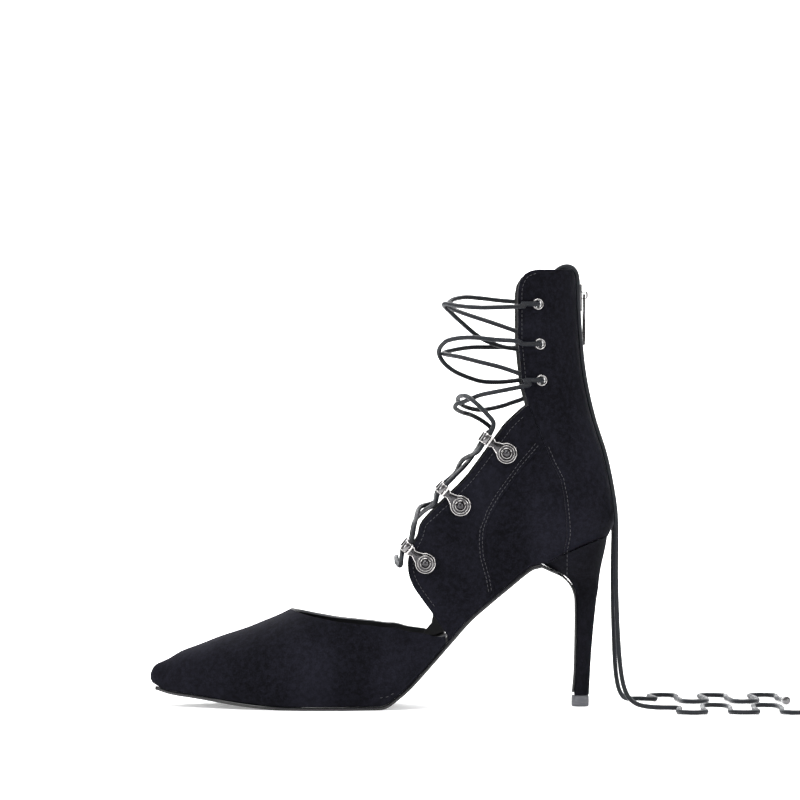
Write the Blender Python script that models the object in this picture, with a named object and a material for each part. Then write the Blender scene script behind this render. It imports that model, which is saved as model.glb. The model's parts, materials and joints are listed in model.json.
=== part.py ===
"""A lace up heel: a left shoe in black suede with a d'Orsay vamp, a laced ankle cuff and a stiletto heel.

The toe points to -X, the heel to +X, and +Z is up. -Y is the lateral (outer) side, +Y the medial side.
Lengths are in metres. A table's x is a share of LENGTH from the toe, and its level is 0 at the floor,
1 at the back of the heel seat and 2 at the top of the cuff.
"""

import math

import bmesh
import bpy
from mathutils import Matrix, Vector

# Driving sizes of the shoe
LENGTH = 0.233
BALL_WIDTH = 0.0752
INSTEP_HEIGHT = 0.0474
HEEL_HEIGHT = 0.085
SHAFT_HEIGHT = 0.1325
ANKLE_WIDTH = 0.060
CUFF_WIDTH = 0.062
WALL = 0.0016
PANEL_STEP = 0.0006
SOLE_THICKNESS = 0.0018
INSOLE_THICKNESS = 0.002
CLEARANCE = 0.0003
TUCK = 0.07
TUCK_HEIGHT = 0.008

# Heel
HEEL_SEAT_WIDTH = 0.052
STEM_WIDTH = 0.0096
TOP_PIECE_HEIGHT = 0.0055
FLAP_THICKNESS = 0.0012

# Lace, eyelets and hooks
LACE_DIAMETER = 0.0024
EYELET_BORE = 0.0036
EYELET_FLANGE = 0.0056
EYELET_RIM = 0.0006
HOOK_DISC = 0.0103
HOOK_REACH = 0.0130
HOOK_THICKNESS = 0.0009
HOOK_RIM = 0.0008
NECK_WIDTH = 0.0036
NECK_END_WIDTH = 0.0052
BARREL_BORE = 0.0032
BARREL_WALL = 0.0007
BARREL_LENGTH = 0.0052
RIVET_HEAD = 0.0046
RIVET_SHANK = 0.002

# Zip
ZIP_WIDTH = 0.0044
ZIP_PROUD = 0.0004
SLIDER_WIDTH = 0.0062
SLIDER_HEIGHT = 0.0135
SLIDER_THICKNESS = 0.0016
BRIDGE_WIDTH = 0.0016
BRIDGE_HEIGHT = 0.0043
BRIDGE_DEPTH = 0.003
BRIDGE_BAR = 0.001
BRIDGE_RISE = 0.0058
PULL_LENGTH = 0.025
PULL_WIDTH = 0.0046
PULL_THICKNESS = 0.0012

# Ties and their metal tips
TIP_DIAMETER = 0.004
TIP_LENGTH = 0.007

# Steps of the meshes
ARCH_POINTS = 17
PLAN_POINTS = 32
LACE_STEP = 0.0094
LACE_SIDES = 6
BEND_WEIGHT = 0.007

TOE_X = -LENGTH / 2
ROUNDNESS = 2.2
PLAN_ROUNDNESS = 2.4
FAR = 0.15
SIDES = {"lateral": -1, "medial": 1}

# Underside of the sole: x, level. The forefoot is flat on the floor
SOLE_LINE = (
    (0.0107, 0.094),
    (0.0429, 0.071),
    (0.1073, 0.051),
    (0.1931, 0.020),
    (0.2575, 0.0036),
    (0.2854, 0.0),
    (0.3862, 0.0),
    (0.4850, 0.0),
    (0.5080, 0.010),
    (0.5258, 0.041),
    (0.5579, 0.114),
    (0.6009, 0.241),
    (0.6438, 0.374),
    (0.6867, 0.507),
    (0.7296, 0.612),
    (0.7725, 0.710),
    (0.8155, 0.804),
    (0.8369, 0.823),
)

# Front face of the flap that the sole makes down the heel's breast: x, level
FLAP_LINE = (
    (0.8570, 0.797),
    (0.8805, 0.765),
    (0.8984, 0.717),
    (0.9074, 0.660),
    (0.9097, 0.600),
    (0.9097, 0.412),
    (0.9078, 0.200),
    (0.9040, 0.085),
)

# Top of the heel under the counter: x, level
SEAT_LINE = (
    (0.8369, 0.8440),
    (0.8498, 0.8500),
    (0.8906, 0.9060),
    (0.9335, 0.9560),
    (0.9785, 1.0),
    (1.0500, 1.0500),
)

# Vamp sections: x, half width as a share of BALL_WIDTH, sideways shift as a share of BALL_WIDTH,
# top above the sole as a share of INSTEP_HEIGHT, lift of the lower edge as a share of INSTEP_HEIGHT
VAMP_SECTIONS = (
    (0.0, 0.014, 0.100, 0.139, 0.060),
    (0.0043, 0.048, 0.099, 0.190, 0.030),
    (0.0129, 0.078, 0.096, 0.234, 0.008),
    (0.0215, 0.101, 0.093, 0.268, 0.0),
    (0.0429, 0.151, 0.086, 0.346, 0.0),
    (0.0644, 0.197, 0.080, 0.422, 0.0),
    (0.1073, 0.277, 0.067, 0.525, 0.0),
    (0.1502, 0.347, 0.053, 0.637, 0.0),
    (0.1931, 0.404, 0.040, 0.732, 0.0),
    (0.2361, 0.449, 0.027, 0.833, 0.0),
    (0.2790, 0.480, 0.016, 0.941, 0.0),
    (0.3047, 0.492, 0.011, 1.0, 0.0),
    (0.3498, 0.500, 0.0, 1.10, 0.0),
    (0.4142, 0.487, -0.011, 1.228, 0.0),
    (0.5, 0.434, -0.013, 1.375, 0.0),
    (0.5858, 0.372, -0.007, 1.245, 0.0),
    (0.6545, 0.330, 0.0, 1.108, 0.0),
)

# Topline of the vamp: x, height above the sole as a share of INSTEP_HEIGHT
TOPLINE = (
    (0.3030, 1.0),
    (0.3090, 0.985),
    (0.3283, 0.958),
    (0.3541, 0.928),
    (0.4013, 0.885),
    (0.4485, 0.858),
    (0.5, 0.820),
    (0.5258, 0.735),
    (0.5558, 0.572),
    (0.5858, 0.392),
    (0.6120, 0.215),
    (0.6352, 0.085),
)

# Level sections of the quarters and cuff: level, back x, widest x, front x, width share, cuff share
SHAFT_SECTIONS = (
    (0.353, 0.929, 0.783, 0.242, 0.80, 0.0),
    (0.530, 0.946, 0.792, 0.264, 0.83, 0.0),
    (0.706, 0.961, 0.796, 0.285, 0.86, 0.0),
    (0.882, 0.974, 0.809, 0.307, 0.885, 0.0),
    (1.0, 0.984, 0.818, 0.337, 0.92, 0.0),
    (1.035, 0.9925, 0.821, 0.352, 0.94, 0.0),
    (1.0755, 1.0, 0.826, 0.371, 0.96, 0.0),
    (1.166, 0.9915, 0.822, 0.414, 0.985, 0.0),
    (1.302, 0.9764, 0.813, 0.466, 1.0, 0.0),
    (1.438, 0.9506, 0.800, 0.513, 1.0, 0.1),
    (1.528, 0.9378, 0.792, 0.543, 1.0, 0.3),
    (1.664, 0.9249, 0.775, 0.586, 1.0, 0.8),
    (1.80, 0.9185, 0.764, 0.609, 1.0, 1.0),
    (2.0, 0.9142, 0.764, 0.609, 1.0, 1.0),
)

# Front edge of the wings and the cuff, from the sole up: x, level
FRONT_EDGE = (
    (0.6361, 0.435),
    (0.6021, 0.570),
    (0.5833, 0.639),
    (0.5661, 0.708),
    (0.5554, 0.778),
    (0.5532, 0.847),
    (0.5610, 0.930),
    (0.5734, 1.0),
    (0.5880, 1.063),
    (0.6687, 1.205),
    (0.6970, 1.266),
    (0.7464, 1.377),
    (0.7652, 1.438),
    (0.8000, 1.485),
    (0.8077, 1.494),
    (0.7955, 1.573),
    (0.7893, 1.681),
    (0.7862, 1.740),
    (0.7862, 1.918),
    (0.7900, 1.953),
    (0.8010, 1.982),
    (0.8150, 1.995),
    (0.8300, 2.0),
)

# The medial wing's own front edge, which reaches farther under the vamp, up to where it joins the lateral one's
MEDIAL_EDGE = (
    (0.6361, 0.436),
    (0.6110, 0.440),
    (0.6050, 0.404),
    (0.5880, 0.404),
    (0.5885, 0.424),
    (0.6040, 0.474),
    (0.6075, 0.520),
)
MEDIAL_JOIN = 1

# The lower panel between wing and counter: its front seam and its back seam, x and level
PANEL_FRONT = (
    (0.8421, 1.350),
    (0.8367, 1.342),
    (0.7961, 1.260),
    (0.7524, 1.155),
    (0.7313, 1.091),
    (0.7189, 1.036),
    (0.7167, 0.981),
    (0.7189, 0.894),
    (0.7313, 0.775),
    (0.7399, 0.640),
)
PANEL_BACK = (
    (0.8850, 0.700),
    (0.8850, 0.920),
    (0.8910, 0.999),
    (0.8897, 1.070),
    (0.8850, 1.152),
    (0.8773, 1.217),
    (0.8584, 1.282),
    (0.8435, 1.345),
)

# Heel: level, back x, front x before the breast is cut, flare from the stem's width to the seat's
HEEL_SECTIONS = (
    (0.068, 0.942, 0.904, 0.0),
    (0.118, 0.943, 0.904, 0.0),
    (0.270, 0.946, 0.904, 0.01),
    (0.412, 0.950, 0.902, 0.04),
    (0.553, 0.955, 0.898, 0.09),
    (0.624, 0.958, 0.891, 0.15),
    (0.694, 0.962, 0.880, 0.24),
    (0.753, 0.964, 0.862, 0.40),
    (0.806, 0.967, 0.835, 0.62),
    (0.859, 0.971, 0.800, 0.82),
    (0.918, 0.976, 0.775, 0.93),
    (0.976, 0.980, 0.765, 0.98),
    (1.060, 0.984, 0.765, 1.0),
)

# Hooks on each wing: x and level of the disc, and the neck's rise from the horizontal
HOOKS = (
    (0.5906, 0.851, math.radians(40)),
    (0.6648, 1.120, math.radians(42)),
    (0.7622, 1.315, math.radians(35)),
)

# Eyelets on each side of the cuff, from the top down: x and level
EYELETS = (
    (0.8283, 1.870),
    (0.8326, 1.7215),
    (0.8361, 1.5864),
)

ZIP_BOTTOM = 1.176
ZIP_STOP = 1.160
ZIP_TOP = 1.975
SLIDER_LEVEL = 1.8996

# Lacing between the hooks and eyelets: x, share of the cuff's half width, level
BAR_ROUTE = ((0.5380, 0.88, 0.842), (0.5300, 0.55, 0.850), (0.5285, 0.0, 0.880))
CROSSING_1 = ((0.5680, 0.62, 1.050), (0.5830, 0.0, 1.100), (0.6100, 0.58, 1.125))
CROSSING_2 = ((0.6560, 0.60, 1.235), (0.6750, 0.0, 1.280), (0.7000, 0.62, 1.318))
CROSSING_3_NEAR = ((0.7200, 0.62, 1.462), (0.6880, 0.26, 1.506))
CROSSING_3_TOP = (0.6610, 0.0, 1.508)
CROSSING_3_FAR = ((0.6700, 0.34, 1.480), (0.7080, 0.68, 1.474), (0.7560, 0.93, 1.503))
MIDDLE_INSIDE = ((0.7840, 0.84, 1.600), (0.7410, 0.70, 1.632), (0.6910, 0.50, 1.648), (0.6440, 0.26, 1.668))
MIDDLE_TOP = (0.6240, 0.0, 1.690)
MIDDLE_OUTSIDE = ((0.6440, 0.30, 1.716), (0.6990, 0.66, 1.730), (0.7560, 0.96, 1.730))
UPPER_INSIDE = ((0.7840, 0.84, 1.755), (0.7300, 0.68, 1.790), (0.6870, 0.50, 1.815), (0.6470, 0.26, 1.845))
UPPER_TOP = (0.6300, 0.0, 1.874)
UPPER_OUTSIDE = ((0.6470, 0.30, 1.893), (0.6990, 0.66, 1.893), (0.7560, 0.96, 1.885))

# Free ends of the lace, from the top eyelets over the back of the cuff to the floor, in metres
TIE_LATERAL_ROUTE = (
    (0.0751, -0.0258, 0.2004),
    (0.0764, -0.0249, 0.2030),
    (0.0792, -0.0230, 0.2080),
    (0.0832, -0.0206, 0.2140),
    (0.0872, -0.0182, 0.2182),
    (0.0906, -0.0166, 0.2197),
    (0.0938, -0.0153, 0.2193),
    (0.0961, -0.0144, 0.2168),
    (0.0968, -0.0138, 0.2120),
    (0.0969, -0.0133, 0.2050),
    (0.0973, -0.0130, 0.1960),
    (0.0981, -0.0128, 0.1840),
    (0.0994, -0.0126, 0.1700),
    (0.1018, -0.0125, 0.1560),
    (0.1053, -0.0124, 0.1420),
    (0.1099, -0.0124, 0.1280),
    (0.1129, -0.0125, 0.1150),
    (0.1148, -0.0128, 0.1040),
    (0.1157, -0.0131, 0.0960),
    (0.1160, -0.0135, 0.0860),
    (0.1158, -0.0142, 0.0660),
    (0.1164, -0.0152, 0.0420),
    (0.1180, -0.0164, 0.0190),
    (0.1206, -0.0178, 0.0075),
    (0.1250, -0.0202, 0.0026),
    (0.1306, -0.0236, 0.0015),
    (0.1372, -0.0290, 0.0014),
    (0.1461, -0.0299, 0.0014),
    (0.1450, -0.0439, 0.0014),
    (0.1443, -0.0575, 0.0014),
    (0.1515, -0.0631, 0.0014),
    (0.1577, -0.0567, 0.0014),
    (0.1569, -0.0430, 0.0014),
    (0.1579, -0.0290, 0.0014),
    (0.1587, -0.0150, 0.0014),
    (0.1641, -0.0103, 0.0014),
    (0.1704, -0.0158, 0.0014),
    (0.1713, -0.0295, 0.0014),
    (0.1703, -0.0435, 0.0014),
    (0.1695, -0.0575, 0.0014),
    (0.1767, -0.0619, 0.0014),
    (0.1830, -0.0567, 0.0014),
    (0.1821, -0.0430, 0.0014),
    (0.1831, -0.0290, 0.0014),
    (0.1839, -0.0150, 0.0014),
    (0.1893, -0.0101, 0.0014),
    (0.1955, -0.0158, 0.0014),
    (0.1965, -0.0295, 0.0014),
    (0.1956, -0.0435, 0.0014),
    (0.1947, -0.0575, 0.0014),
    (0.2019, -0.0634, 0.0014),
    (0.2083, -0.0567, 0.0014),
    (0.2073, -0.0430, 0.0015),
    (0.2082, -0.0290, 0.0018),
)
TIE_MEDIAL_ROUTE = (
    (0.0751, 0.0258, 0.2004),
    (0.0764, 0.0249, 0.2030),
    (0.0792, 0.0230, 0.2080),
    (0.0832, 0.0206, 0.2140),
    (0.0872, 0.0182, 0.2182),
    (0.0906, 0.0166, 0.2197),
    (0.0938, 0.0153, 0.2193),
    (0.0961, 0.0144, 0.2168),
    (0.0968, 0.0138, 0.2120),
    (0.0969, 0.0133, 0.2050),
    (0.0973, 0.0130, 0.1960),
    (0.0981, 0.0128, 0.1840),
    (0.0994, 0.0126, 0.1700),
    (0.1018, 0.0125, 0.1560),
    (0.1053, 0.0124, 0.1420),
    (0.1099, 0.0124, 0.1280),
    (0.1129, 0.0125, 0.1150),
    (0.1148, 0.0128, 0.1040),
    (0.1157, 0.0131, 0.0960),
    (0.1159, 0.0137, 0.0860),
    (0.1156, 0.0148, 0.0660),
    (0.1160, 0.0162, 0.0420),
    (0.1170, 0.0180, 0.0190),
    (0.1188, 0.0206, 0.0075),
    (0.1216, 0.0250, 0.0026),
    (0.1246, 0.0304, 0.0015),
    (0.1286, 0.0350, 0.0014),
    (0.1382, 0.0298, 0.0014),
    (0.1369, 0.0429, 0.0014),
    (0.1362, 0.0555, 0.0014),
    (0.1436, 0.0611, 0.0014),
    (0.1499, 0.0547, 0.0014),
    (0.1490, 0.0421, 0.0014),
    (0.1502, 0.0290, 0.0014),
    (0.1510, 0.0160, 0.0014),
    (0.1564, 0.0113, 0.0014),
    (0.1628, 0.0168, 0.0014),
    (0.1638, 0.0294, 0.0014),
    (0.1627, 0.0425, 0.0014),
    (0.1618, 0.0555, 0.0014),
    (0.1692, 0.0599, 0.0014),
    (0.1756, 0.0547, 0.0014),
    (0.1746, 0.0421, 0.0014),
    (0.1757, 0.0290, 0.0014),
    (0.1766, 0.0160, 0.0014),
    (0.1820, 0.0111, 0.0014),
    (0.1883, 0.0168, 0.0014),
    (0.1894, 0.0294, 0.0014),
    (0.1884, 0.0425, 0.0014),
    (0.1874, 0.0555, 0.0014),
    (0.1948, 0.0614, 0.0014),
    (0.2013, 0.0547, 0.0014),
    (0.2002, 0.0421, 0.0014),
    (0.2012, 0.0290, 0.0015),
    (0.2022, 0.0160, 0.0018),
)
TIE_POINTS = 90


def along(share):
    """The x of a share of the length, counted from the toe."""
    return TOE_X + share * LENGTH


def height(level):
    """The z of a level: 0 is the floor, 1 the back of the heel seat and 2 the top of the cuff."""
    if level <= 1:
        return level * HEEL_HEIGHT
    return HEEL_HEIGHT + (level - 1) * SHAFT_HEIGHT


def level_of(z):
    """The level of a height, the other way round."""
    if z <= HEEL_HEIGHT:
        return z / HEEL_HEIGHT
    return 1 + (z - HEEL_HEIGHT) / SHAFT_HEIGHT


def blend(table, at, column=1):
    """A table's column at a value of its first column, on a smooth curve through the rows."""
    keys = [row[0] for row in table]
    values = [row[column] for row in table]
    if at <= keys[0]:
        return values[0]
    if at >= keys[-1]:
        return values[-1]
    right = next(index for index, key in enumerate(keys) if key > at)
    left = right - 1

    def slope(index):
        before = max(index - 1, 0)
        after = min(index + 1, len(keys) - 1)
        return (values[after] - values[before]) / (keys[after] - keys[before])

    span = keys[right] - keys[left]
    t = (at - keys[left]) / span
    rise = values[right] - values[left]
    start = slope(left) * span
    end = slope(right) * span
    return values[left] + t * start + t * t * (3 * rise - 2 * start - end) + t**3 * (start + end - 2 * rise)


def underside(share):
    """The z of the sole's underside."""
    return height(max(blend(SOLE_LINE, share), 0.0))


def steepness(line, share):
    """Length along a line for each unit of x, which turns a thickness into a height."""
    step = 0.002
    return math.hypot(1, (line(share + step) - line(share - step)) / (2 * step * LENGTH))


def seat(share):
    """The z of the heel's top."""
    return height(blend(SEAT_LINE, share))


def feather(share):
    """The z of the surface that the upper and the insole stand on."""
    if share < SEAT_LINE[0][0]:
        return underside(share) + SOLE_THICKNESS * steepness(underside, share)
    return seat(share)


def above(share, distance):
    """The z of a line that lies a distance over the sole or the seat."""
    line = underside if share < SEAT_LINE[0][0] else seat
    return feather(share) + distance * steepness(line, share)


def floor_stations(start, end):
    """The stations where sole, insole and vamp have their sections, so that their faces lie side by side."""
    waist = TOPLINE[-1][0]
    found = shares(SOLE_LINE[0][0], 0.2575, 10, 1.35) + shares(0.2854, 0.4850, 4)
    found += shares(0.4990, waist, 9) + shares(waist, SOLE_LINE[-1][0], 9)[1:]
    return [share for share in found if start <= share <= end]


def tuck(rise, tall):
    """How far a wall is drawn in near its lower edge, as a factor."""
    reach = min(TUCK_HEIGHT, 0.35 * tall)
    return 1 - TUCK * max(0.0, 1 - rise / reach) ** 2


def vamp_half_width(share):
    """Half the vamp's width at its widest height."""
    return blend(VAMP_SECTIONS, share, 1) * BALL_WIDTH


def vamp_shift(share):
    """How far the last turns to the medial side."""
    return blend(VAMP_SECTIONS, share, 2) * BALL_WIDTH


def vamp_ring(share, inset=0.0):
    """An arch over the foot, closed below. An inset ring is the wall's inside, and reaches under the sole."""
    x = along(share)
    source = max(share - inset / LENGTH, 0.0)
    half = vamp_half_width(source) - 1.15 * inset
    shift = vamp_shift(share)
    lift = blend(VAMP_SECTIONS, share, 4) * INSTEP_HEIGHT
    low = above(share, CLEARANCE) + lift
    top = feather(source) + blend(VAMP_SECTIONS, source, 3) * INSTEP_HEIGHT - inset
    tall = top - low
    ring = []
    for index in range(ARCH_POINTS):
        angle = math.pi * index / (ARCH_POINTS - 1)
        side = -math.copysign(abs(math.cos(angle)) ** (2 / ROUNDNESS), math.cos(angle))
        rise = tall * math.sin(angle) ** (2 / ROUNDNESS)
        ring.append(Vector((x, shift + half * side * tuck(rise, tall), low + rise)))
    if inset:
        for end, place in ((0, 0), (-1, len(ring))):
            below = ring[end].copy()
            below.z = low - 0.02
            ring.insert(place if place == 0 else len(ring), below)
    return ring


def shaft_row(level):
    """Back, widest and front x of the quarters at a level, and half their width."""
    back, middle, front = (along(blend(SHAFT_SECTIONS, level, column)) for column in (1, 2, 3))
    cuff = blend(SHAFT_SECTIONS, level, 5)
    width = ANKLE_WIDTH + cuff * (CUFF_WIDTH - ANKLE_WIDTH)
    return back, middle, front, width / 2 * blend(SHAFT_SECTIONS, level, 4)


def shaft_half_width(x, z, inset=0.0):
    """Half the width of the quarters' outside at a place, or of a surface inside it."""
    back, middle, front, half = shaft_row(level_of(z))
    reach = (back - middle if x > middle else middle - front) - inset
    offset = min(abs(x - middle) / reach, 1.0)
    return (half - inset) * (1 - offset**PLAN_ROUNDNESS) ** (1 / PLAN_ROUNDNESS)


def shaft_ring(z, inset=0.0, level=None):
    """The quarters' outline at a height, as a closed ring."""
    back, middle, front, half = shaft_row(level_of(z) if level is None else level)
    ring = []
    for index in range(PLAN_POINTS):
        angle = 2 * math.pi * index / PLAN_POINTS
        reach = (back - middle if math.cos(angle) > 0 else middle - front) - inset
        x = middle + math.copysign(abs(math.cos(angle)) ** (2 / PLAN_ROUNDNESS), math.cos(angle)) * reach
        y = math.copysign(abs(math.sin(angle)) ** (2 / PLAN_ROUNDNESS), math.sin(angle)) * (half - inset)
        ring.append(Vector((x, y, z)))
    return ring


def on_shaft(x, z, side):
    """A point of the quarters' outside and the direction that faces away from it."""
    step = 0.0005

    def point(px, pz):
        return Vector((px, side * shaft_half_width(px, pz), pz))

    along_x = point(x + step, z) - point(x - step, z)
    along_z = point(x, z + step) - point(x, z - step)
    normal = along_x.cross(along_z).normalized()
    if normal.y * side < 0:
        normal.negate()
    return point(x, z), normal


def material(name, colour, roughness, metallic=0.0):
    """A plain finish."""
    made = bpy.data.materials.new(name)
    made.use_nodes = True
    shader = made.node_tree.nodes["Principled BSDF"]
    shader.inputs["Base Color"].default_value = (*colour, 1.0)
    shader.inputs["Roughness"].default_value = roughness
    shader.inputs["Metallic"].default_value = metallic
    made.diffuse_color = (*colour, 1.0)
    return made


def add_object(name, shape, finish):
    """An object from a bmesh, with its faces pointing out and its round parts smooth."""
    bmesh.ops.recalc_face_normals(shape, faces=shape.faces)
    mesh = bpy.data.meshes.new(name)
    shape.to_mesh(mesh)
    shape.free()
    if finish is not None:
        mesh.materials.append(finish)
    mesh.shade_smooth()
    mesh.set_sharp_from_angle(angle=math.radians(40))
    made = bpy.data.objects.new(name, mesh)
    bpy.context.scene.collection.objects.link(made)
    return made


def loft(name, rings, finish=None, closed=False):
    """A solid through rings of equal counts, with flat ends, or closed on itself."""
    shape = bmesh.new()
    rows = [[shape.verts.new(point) for point in ring] for ring in rings]
    pairs = list(zip(rows, rows[1:]))
    if closed:
        pairs.append((rows[-1], rows[0]))
    for row, following in pairs:
        for index in range(len(row)):
            after = (index + 1) % len(row)
            shape.faces.new((row[index], row[after], following[after], following[index]))
    if not closed:
        shape.faces.new(list(reversed(rows[0])))
        shape.faces.new(rows[-1])
    return add_object(name, shape, finish)


def side_prism(name, outline, half_depth=FAR, finish=None, centre=0.0):
    """A prism along Y from an outline of x and z."""
    rings = [[Vector((x, centre + y, z)) for x, z in outline] for y in (-half_depth, half_depth)]
    return loft(name, rings, finish)


def combine(target, tool, operation="DIFFERENCE"):
    """Cuts, joins or intersects a solid with another, which is used up."""
    modifier = target.modifiers.new("combine", "BOOLEAN")
    modifier.solver = "EXACT"
    modifier.operation = operation
    modifier.object = tool
    bpy.context.view_layer.update()
    graph = bpy.context.evaluated_depsgraph_get()
    mesh = bpy.data.meshes.new_from_object(target.evaluated_get(graph))
    target.modifiers.clear()
    target.data = mesh
    bpy.data.objects.remove(tool)
    return target


def spin(name, profile, segments, finish=None):
    """A solid turned about the local Z axis from a closed profile of radius and height."""
    rings = []
    for index in range(segments):
        angle = 2 * math.pi * index / segments
        rings.append([Vector((r * math.cos(angle), r * math.sin(angle), z)) for r, z in profile])
    return loft(name, rings, finish, closed=True)


def dome(name, profile, segments, finish=None):
    """A solid turned about the local Z axis from a profile that starts and ends near the axis."""
    rings = []
    for r, z in profile:
        ring = []
        for index in range(segments):
            angle = 2 * math.pi * index / segments
            ring.append(Vector((r * math.cos(angle), r * math.sin(angle), z)))
        rings.append(ring)
    return loft(name, rings, finish)


def place(made, origin, x_axis, z_axis):
    """Bakes a local frame into an object's mesh."""
    z_axis = z_axis.normalized()
    y_axis = z_axis.cross(x_axis).normalized()
    frame = Matrix.Identity(4)
    for column, axis in enumerate((y_axis.cross(z_axis), y_axis, z_axis)):
        for row in range(3):
            frame[row][column] = axis[row]
    frame.translation = origin
    made.data.transform(frame)
    return made


def smooth_route(points, count=None, step=None, lead=None, trail=None):
    """Points along a smooth curve through a route's own points, closer together where it bends."""
    route = [Vector(point) for point in points]
    lead = lead or 2 * route[0] - route[1]
    trail = trail or 2 * route[-1] - route[-2]
    route = [lead, *route, trail]
    fine = []
    for index in range(1, len(route) - 2):
        before, start, end, after = route[index - 1 : index + 3]
        for part in range(24):
            t = part / 24
            fine.append(
                0.5
                * (
                    2 * start
                    + (end - before) * t
                    + (2 * before - 5 * start + 4 * end - after) * t * t
                    + (3 * start - before - 3 * end + after) * t**3
                )
            )
    fine.append(route[-2])
    lengths = [0.0]
    heading = fine[1] - fine[0]
    for start, end in zip(fine, fine[1:]):
        bend = heading.angle(end - start, 0.0)
        heading = end - start
        lengths.append(lengths[-1] + heading.length + BEND_WEIGHT * bend)
    count = count or max(2, round(lengths[-1] / step) + 1)
    found = []
    index = 0
    for number in range(count):
        wanted = lengths[-1] * number / (count - 1)
        while index < len(fine) - 2 and lengths[index + 1] < wanted:
            index += 1
        span = lengths[index + 1] - lengths[index]
        found.append(fine[index].lerp(fine[index + 1], (wanted - lengths[index]) / span))
    return found


def tube(name, points, radius, finish=None):
    """A round bar along points, without twist, with flat ends."""
    rings = []
    direction = (points[1] - points[0]).normalized()
    across = direction.orthogonal().normalized()
    for index, point in enumerate(points):
        before = points[max(index - 1, 0)]
        after = points[min(index + 1, len(points) - 1)]
        turned = (after - before).normalized()
        across = (across - across.dot(turned) * turned).normalized()
        up = turned.cross(across)
        ring = []
        for side in range(LACE_SIDES):
            angle = 2 * math.pi * side / LACE_SIDES
            ring.append(point + radius * (across * math.cos(angle) + up * math.sin(angle)))
        rings.append(ring)
    return loft(name, rings, finish)


def shares(start, end, count, power=1.0):
    """Even steps from start to end, closer together near the start where power is over 1."""
    return [start + (end - start) * (index / (count - 1)) ** power for index in range(count)]


def make_vamp(finish):
    """The vamp: a shell over the toes, open at the throat, at both sides and underneath."""
    waist = TOPLINE[-1][0]
    stations = [row[0] for row in VAMP_SECTIONS[:2]] + floor_stations(0.0, waist) + [VAMP_SECTIONS[-1][0]]
    outer = loft("vamp", [vamp_ring(share) for share in stations], finish)
    inside = [1.9 * WALL / LENGTH] + stations[4:] + [VAMP_SECTIONS[-1][0] + 0.02]
    combine(outer, loft("cutter", [vamp_ring(share, WALL) for share in inside]))
    throat = TOPLINE[0][0]
    rear = TOPLINE[-1][0] - CLEARANCE / LENGTH
    outline = [(along(throat), FAR)]
    for share in (row[0] for row in TOPLINE):
        rise = blend(TOPLINE, share) * INSTEP_HEIGHT
        outline.append((along(min(share, rear)), feather(share) + rise))
    outline += [(along(rear), -FAR), (FAR, -FAR), (FAR, FAR)]
    return combine(outer, side_prism("cutter", outline))


def make_quarters(finish):
    """The back of the upper: wings, counter and cuff as one wall, open in front, above and underneath."""
    levels = [row[0] for row in SHAFT_SECTIONS]
    middles = [(a + b) / 2 for a, b in zip(levels, levels[1:]) if b - a > 0.1]
    levels = sorted(levels + middles)
    quarters = loft("quarters", [shaft_ring(height(level)) for level in levels], finish)
    inner = [shaft_ring(height(level), WALL) for level in levels]
    inner.insert(0, shaft_ring(height(levels[0]) - WALL, WALL, levels[0]))
    inner.append(shaft_ring(height(levels[-1]) + WALL, WALL, levels[-1]))
    combine(quarters, loft("cutter", inner))

    top = height(levels[-1]) + 0.02
    for side, edge in ((SIDES["lateral"], FRONT_EDGE), (SIDES["medial"], MEDIAL_EDGE + FRONT_EDGE[MEDIAL_JOIN:])):
        front = [(along(share), height(level)) for share, level in edge]
        front += [(front[-1][0], top), (-FAR, top), (-FAR, -FAR), (front[0][0], -FAR)]
        combine(quarters, side_prism("cutter", front, FAR / 2, centre=side * FAR / 2))

    rows = [0.61, *floor_stations(TOPLINE[-1][0], SOLE_LINE[-1][0]), *shares(0.8498, SEAT_LINE[-1][0], 8)]
    under = [(along(share), above(share, CLEARANCE)) for share in rows]
    under += [(along(1.1), under[-1][1]), (along(1.1), -FAR), (under[0][0], -FAR)]
    combine(quarters, side_prism("cutter", under))

    half_slot = ZIP_WIDTH / 2 + CLEARANCE
    slot_low = height(ZIP_STOP) - CLEARANCE
    slot = [(along(0.86), slot_low), (FAR, slot_low), (FAR, top), (along(0.86), top)]
    combine(quarters, side_prism("cutter", slot, half_slot))

    panel = [(along(share), height(level)) for share, level in PANEL_FRONT + PANEL_BACK]
    panel_levels = [level for level in levels if level < 1.5]
    skin = loft("cutter", [shaft_ring(height(level), -0.001) for level in panel_levels])
    combine(skin, loft("cutter", [shaft_ring(height(level), PANEL_STEP) for level in panel_levels]))
    combine(skin, side_prism("cutter", panel), "INTERSECT")
    combine(quarters, skin)

    for share, level in EYELETS:
        for side in SIDES.values():
            centre, normal = on_shaft(along(share), height(level), side)
            radius = EYELET_BORE / 2 + BARREL_WALL + CLEARANCE
            hole = dome("cutter", ((radius, -0.004), (radius, 0.004)), 12)
            combine(quarters, place(hole, centre, Vector((1, 0, 0)), normal))
    return quarters


def sole_half_widths(share):
    """Lateral and medial reach of the sole, a little inside the upper."""
    edge = 0.0006
    if share < TOPLINE[-1][0]:
        half = vamp_half_width(share) * (1 - TUCK) - edge
        shift = vamp_shift(share)
        return half - shift, half + shift
    half = shaft_half_width(along(share), feather(share)) - edge
    return half, half


def heel_row(level):
    """Back and front x of the heel at a level, and half its width."""
    flare = blend(HEEL_SECTIONS, level, 3)
    half = (STEM_WIDTH + flare * (HEEL_SEAT_WIDTH - STEM_WIDTH)) / 2
    return along(blend(HEEL_SECTIONS, level, 1)), along(blend(HEEL_SECTIONS, level, 2)), half


def flap_path():
    """Points down the front face of the flap, from the arch to the top piece."""
    return [Vector((along(share), 0, height(level))) for share, level in FLAP_LINE]


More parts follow.
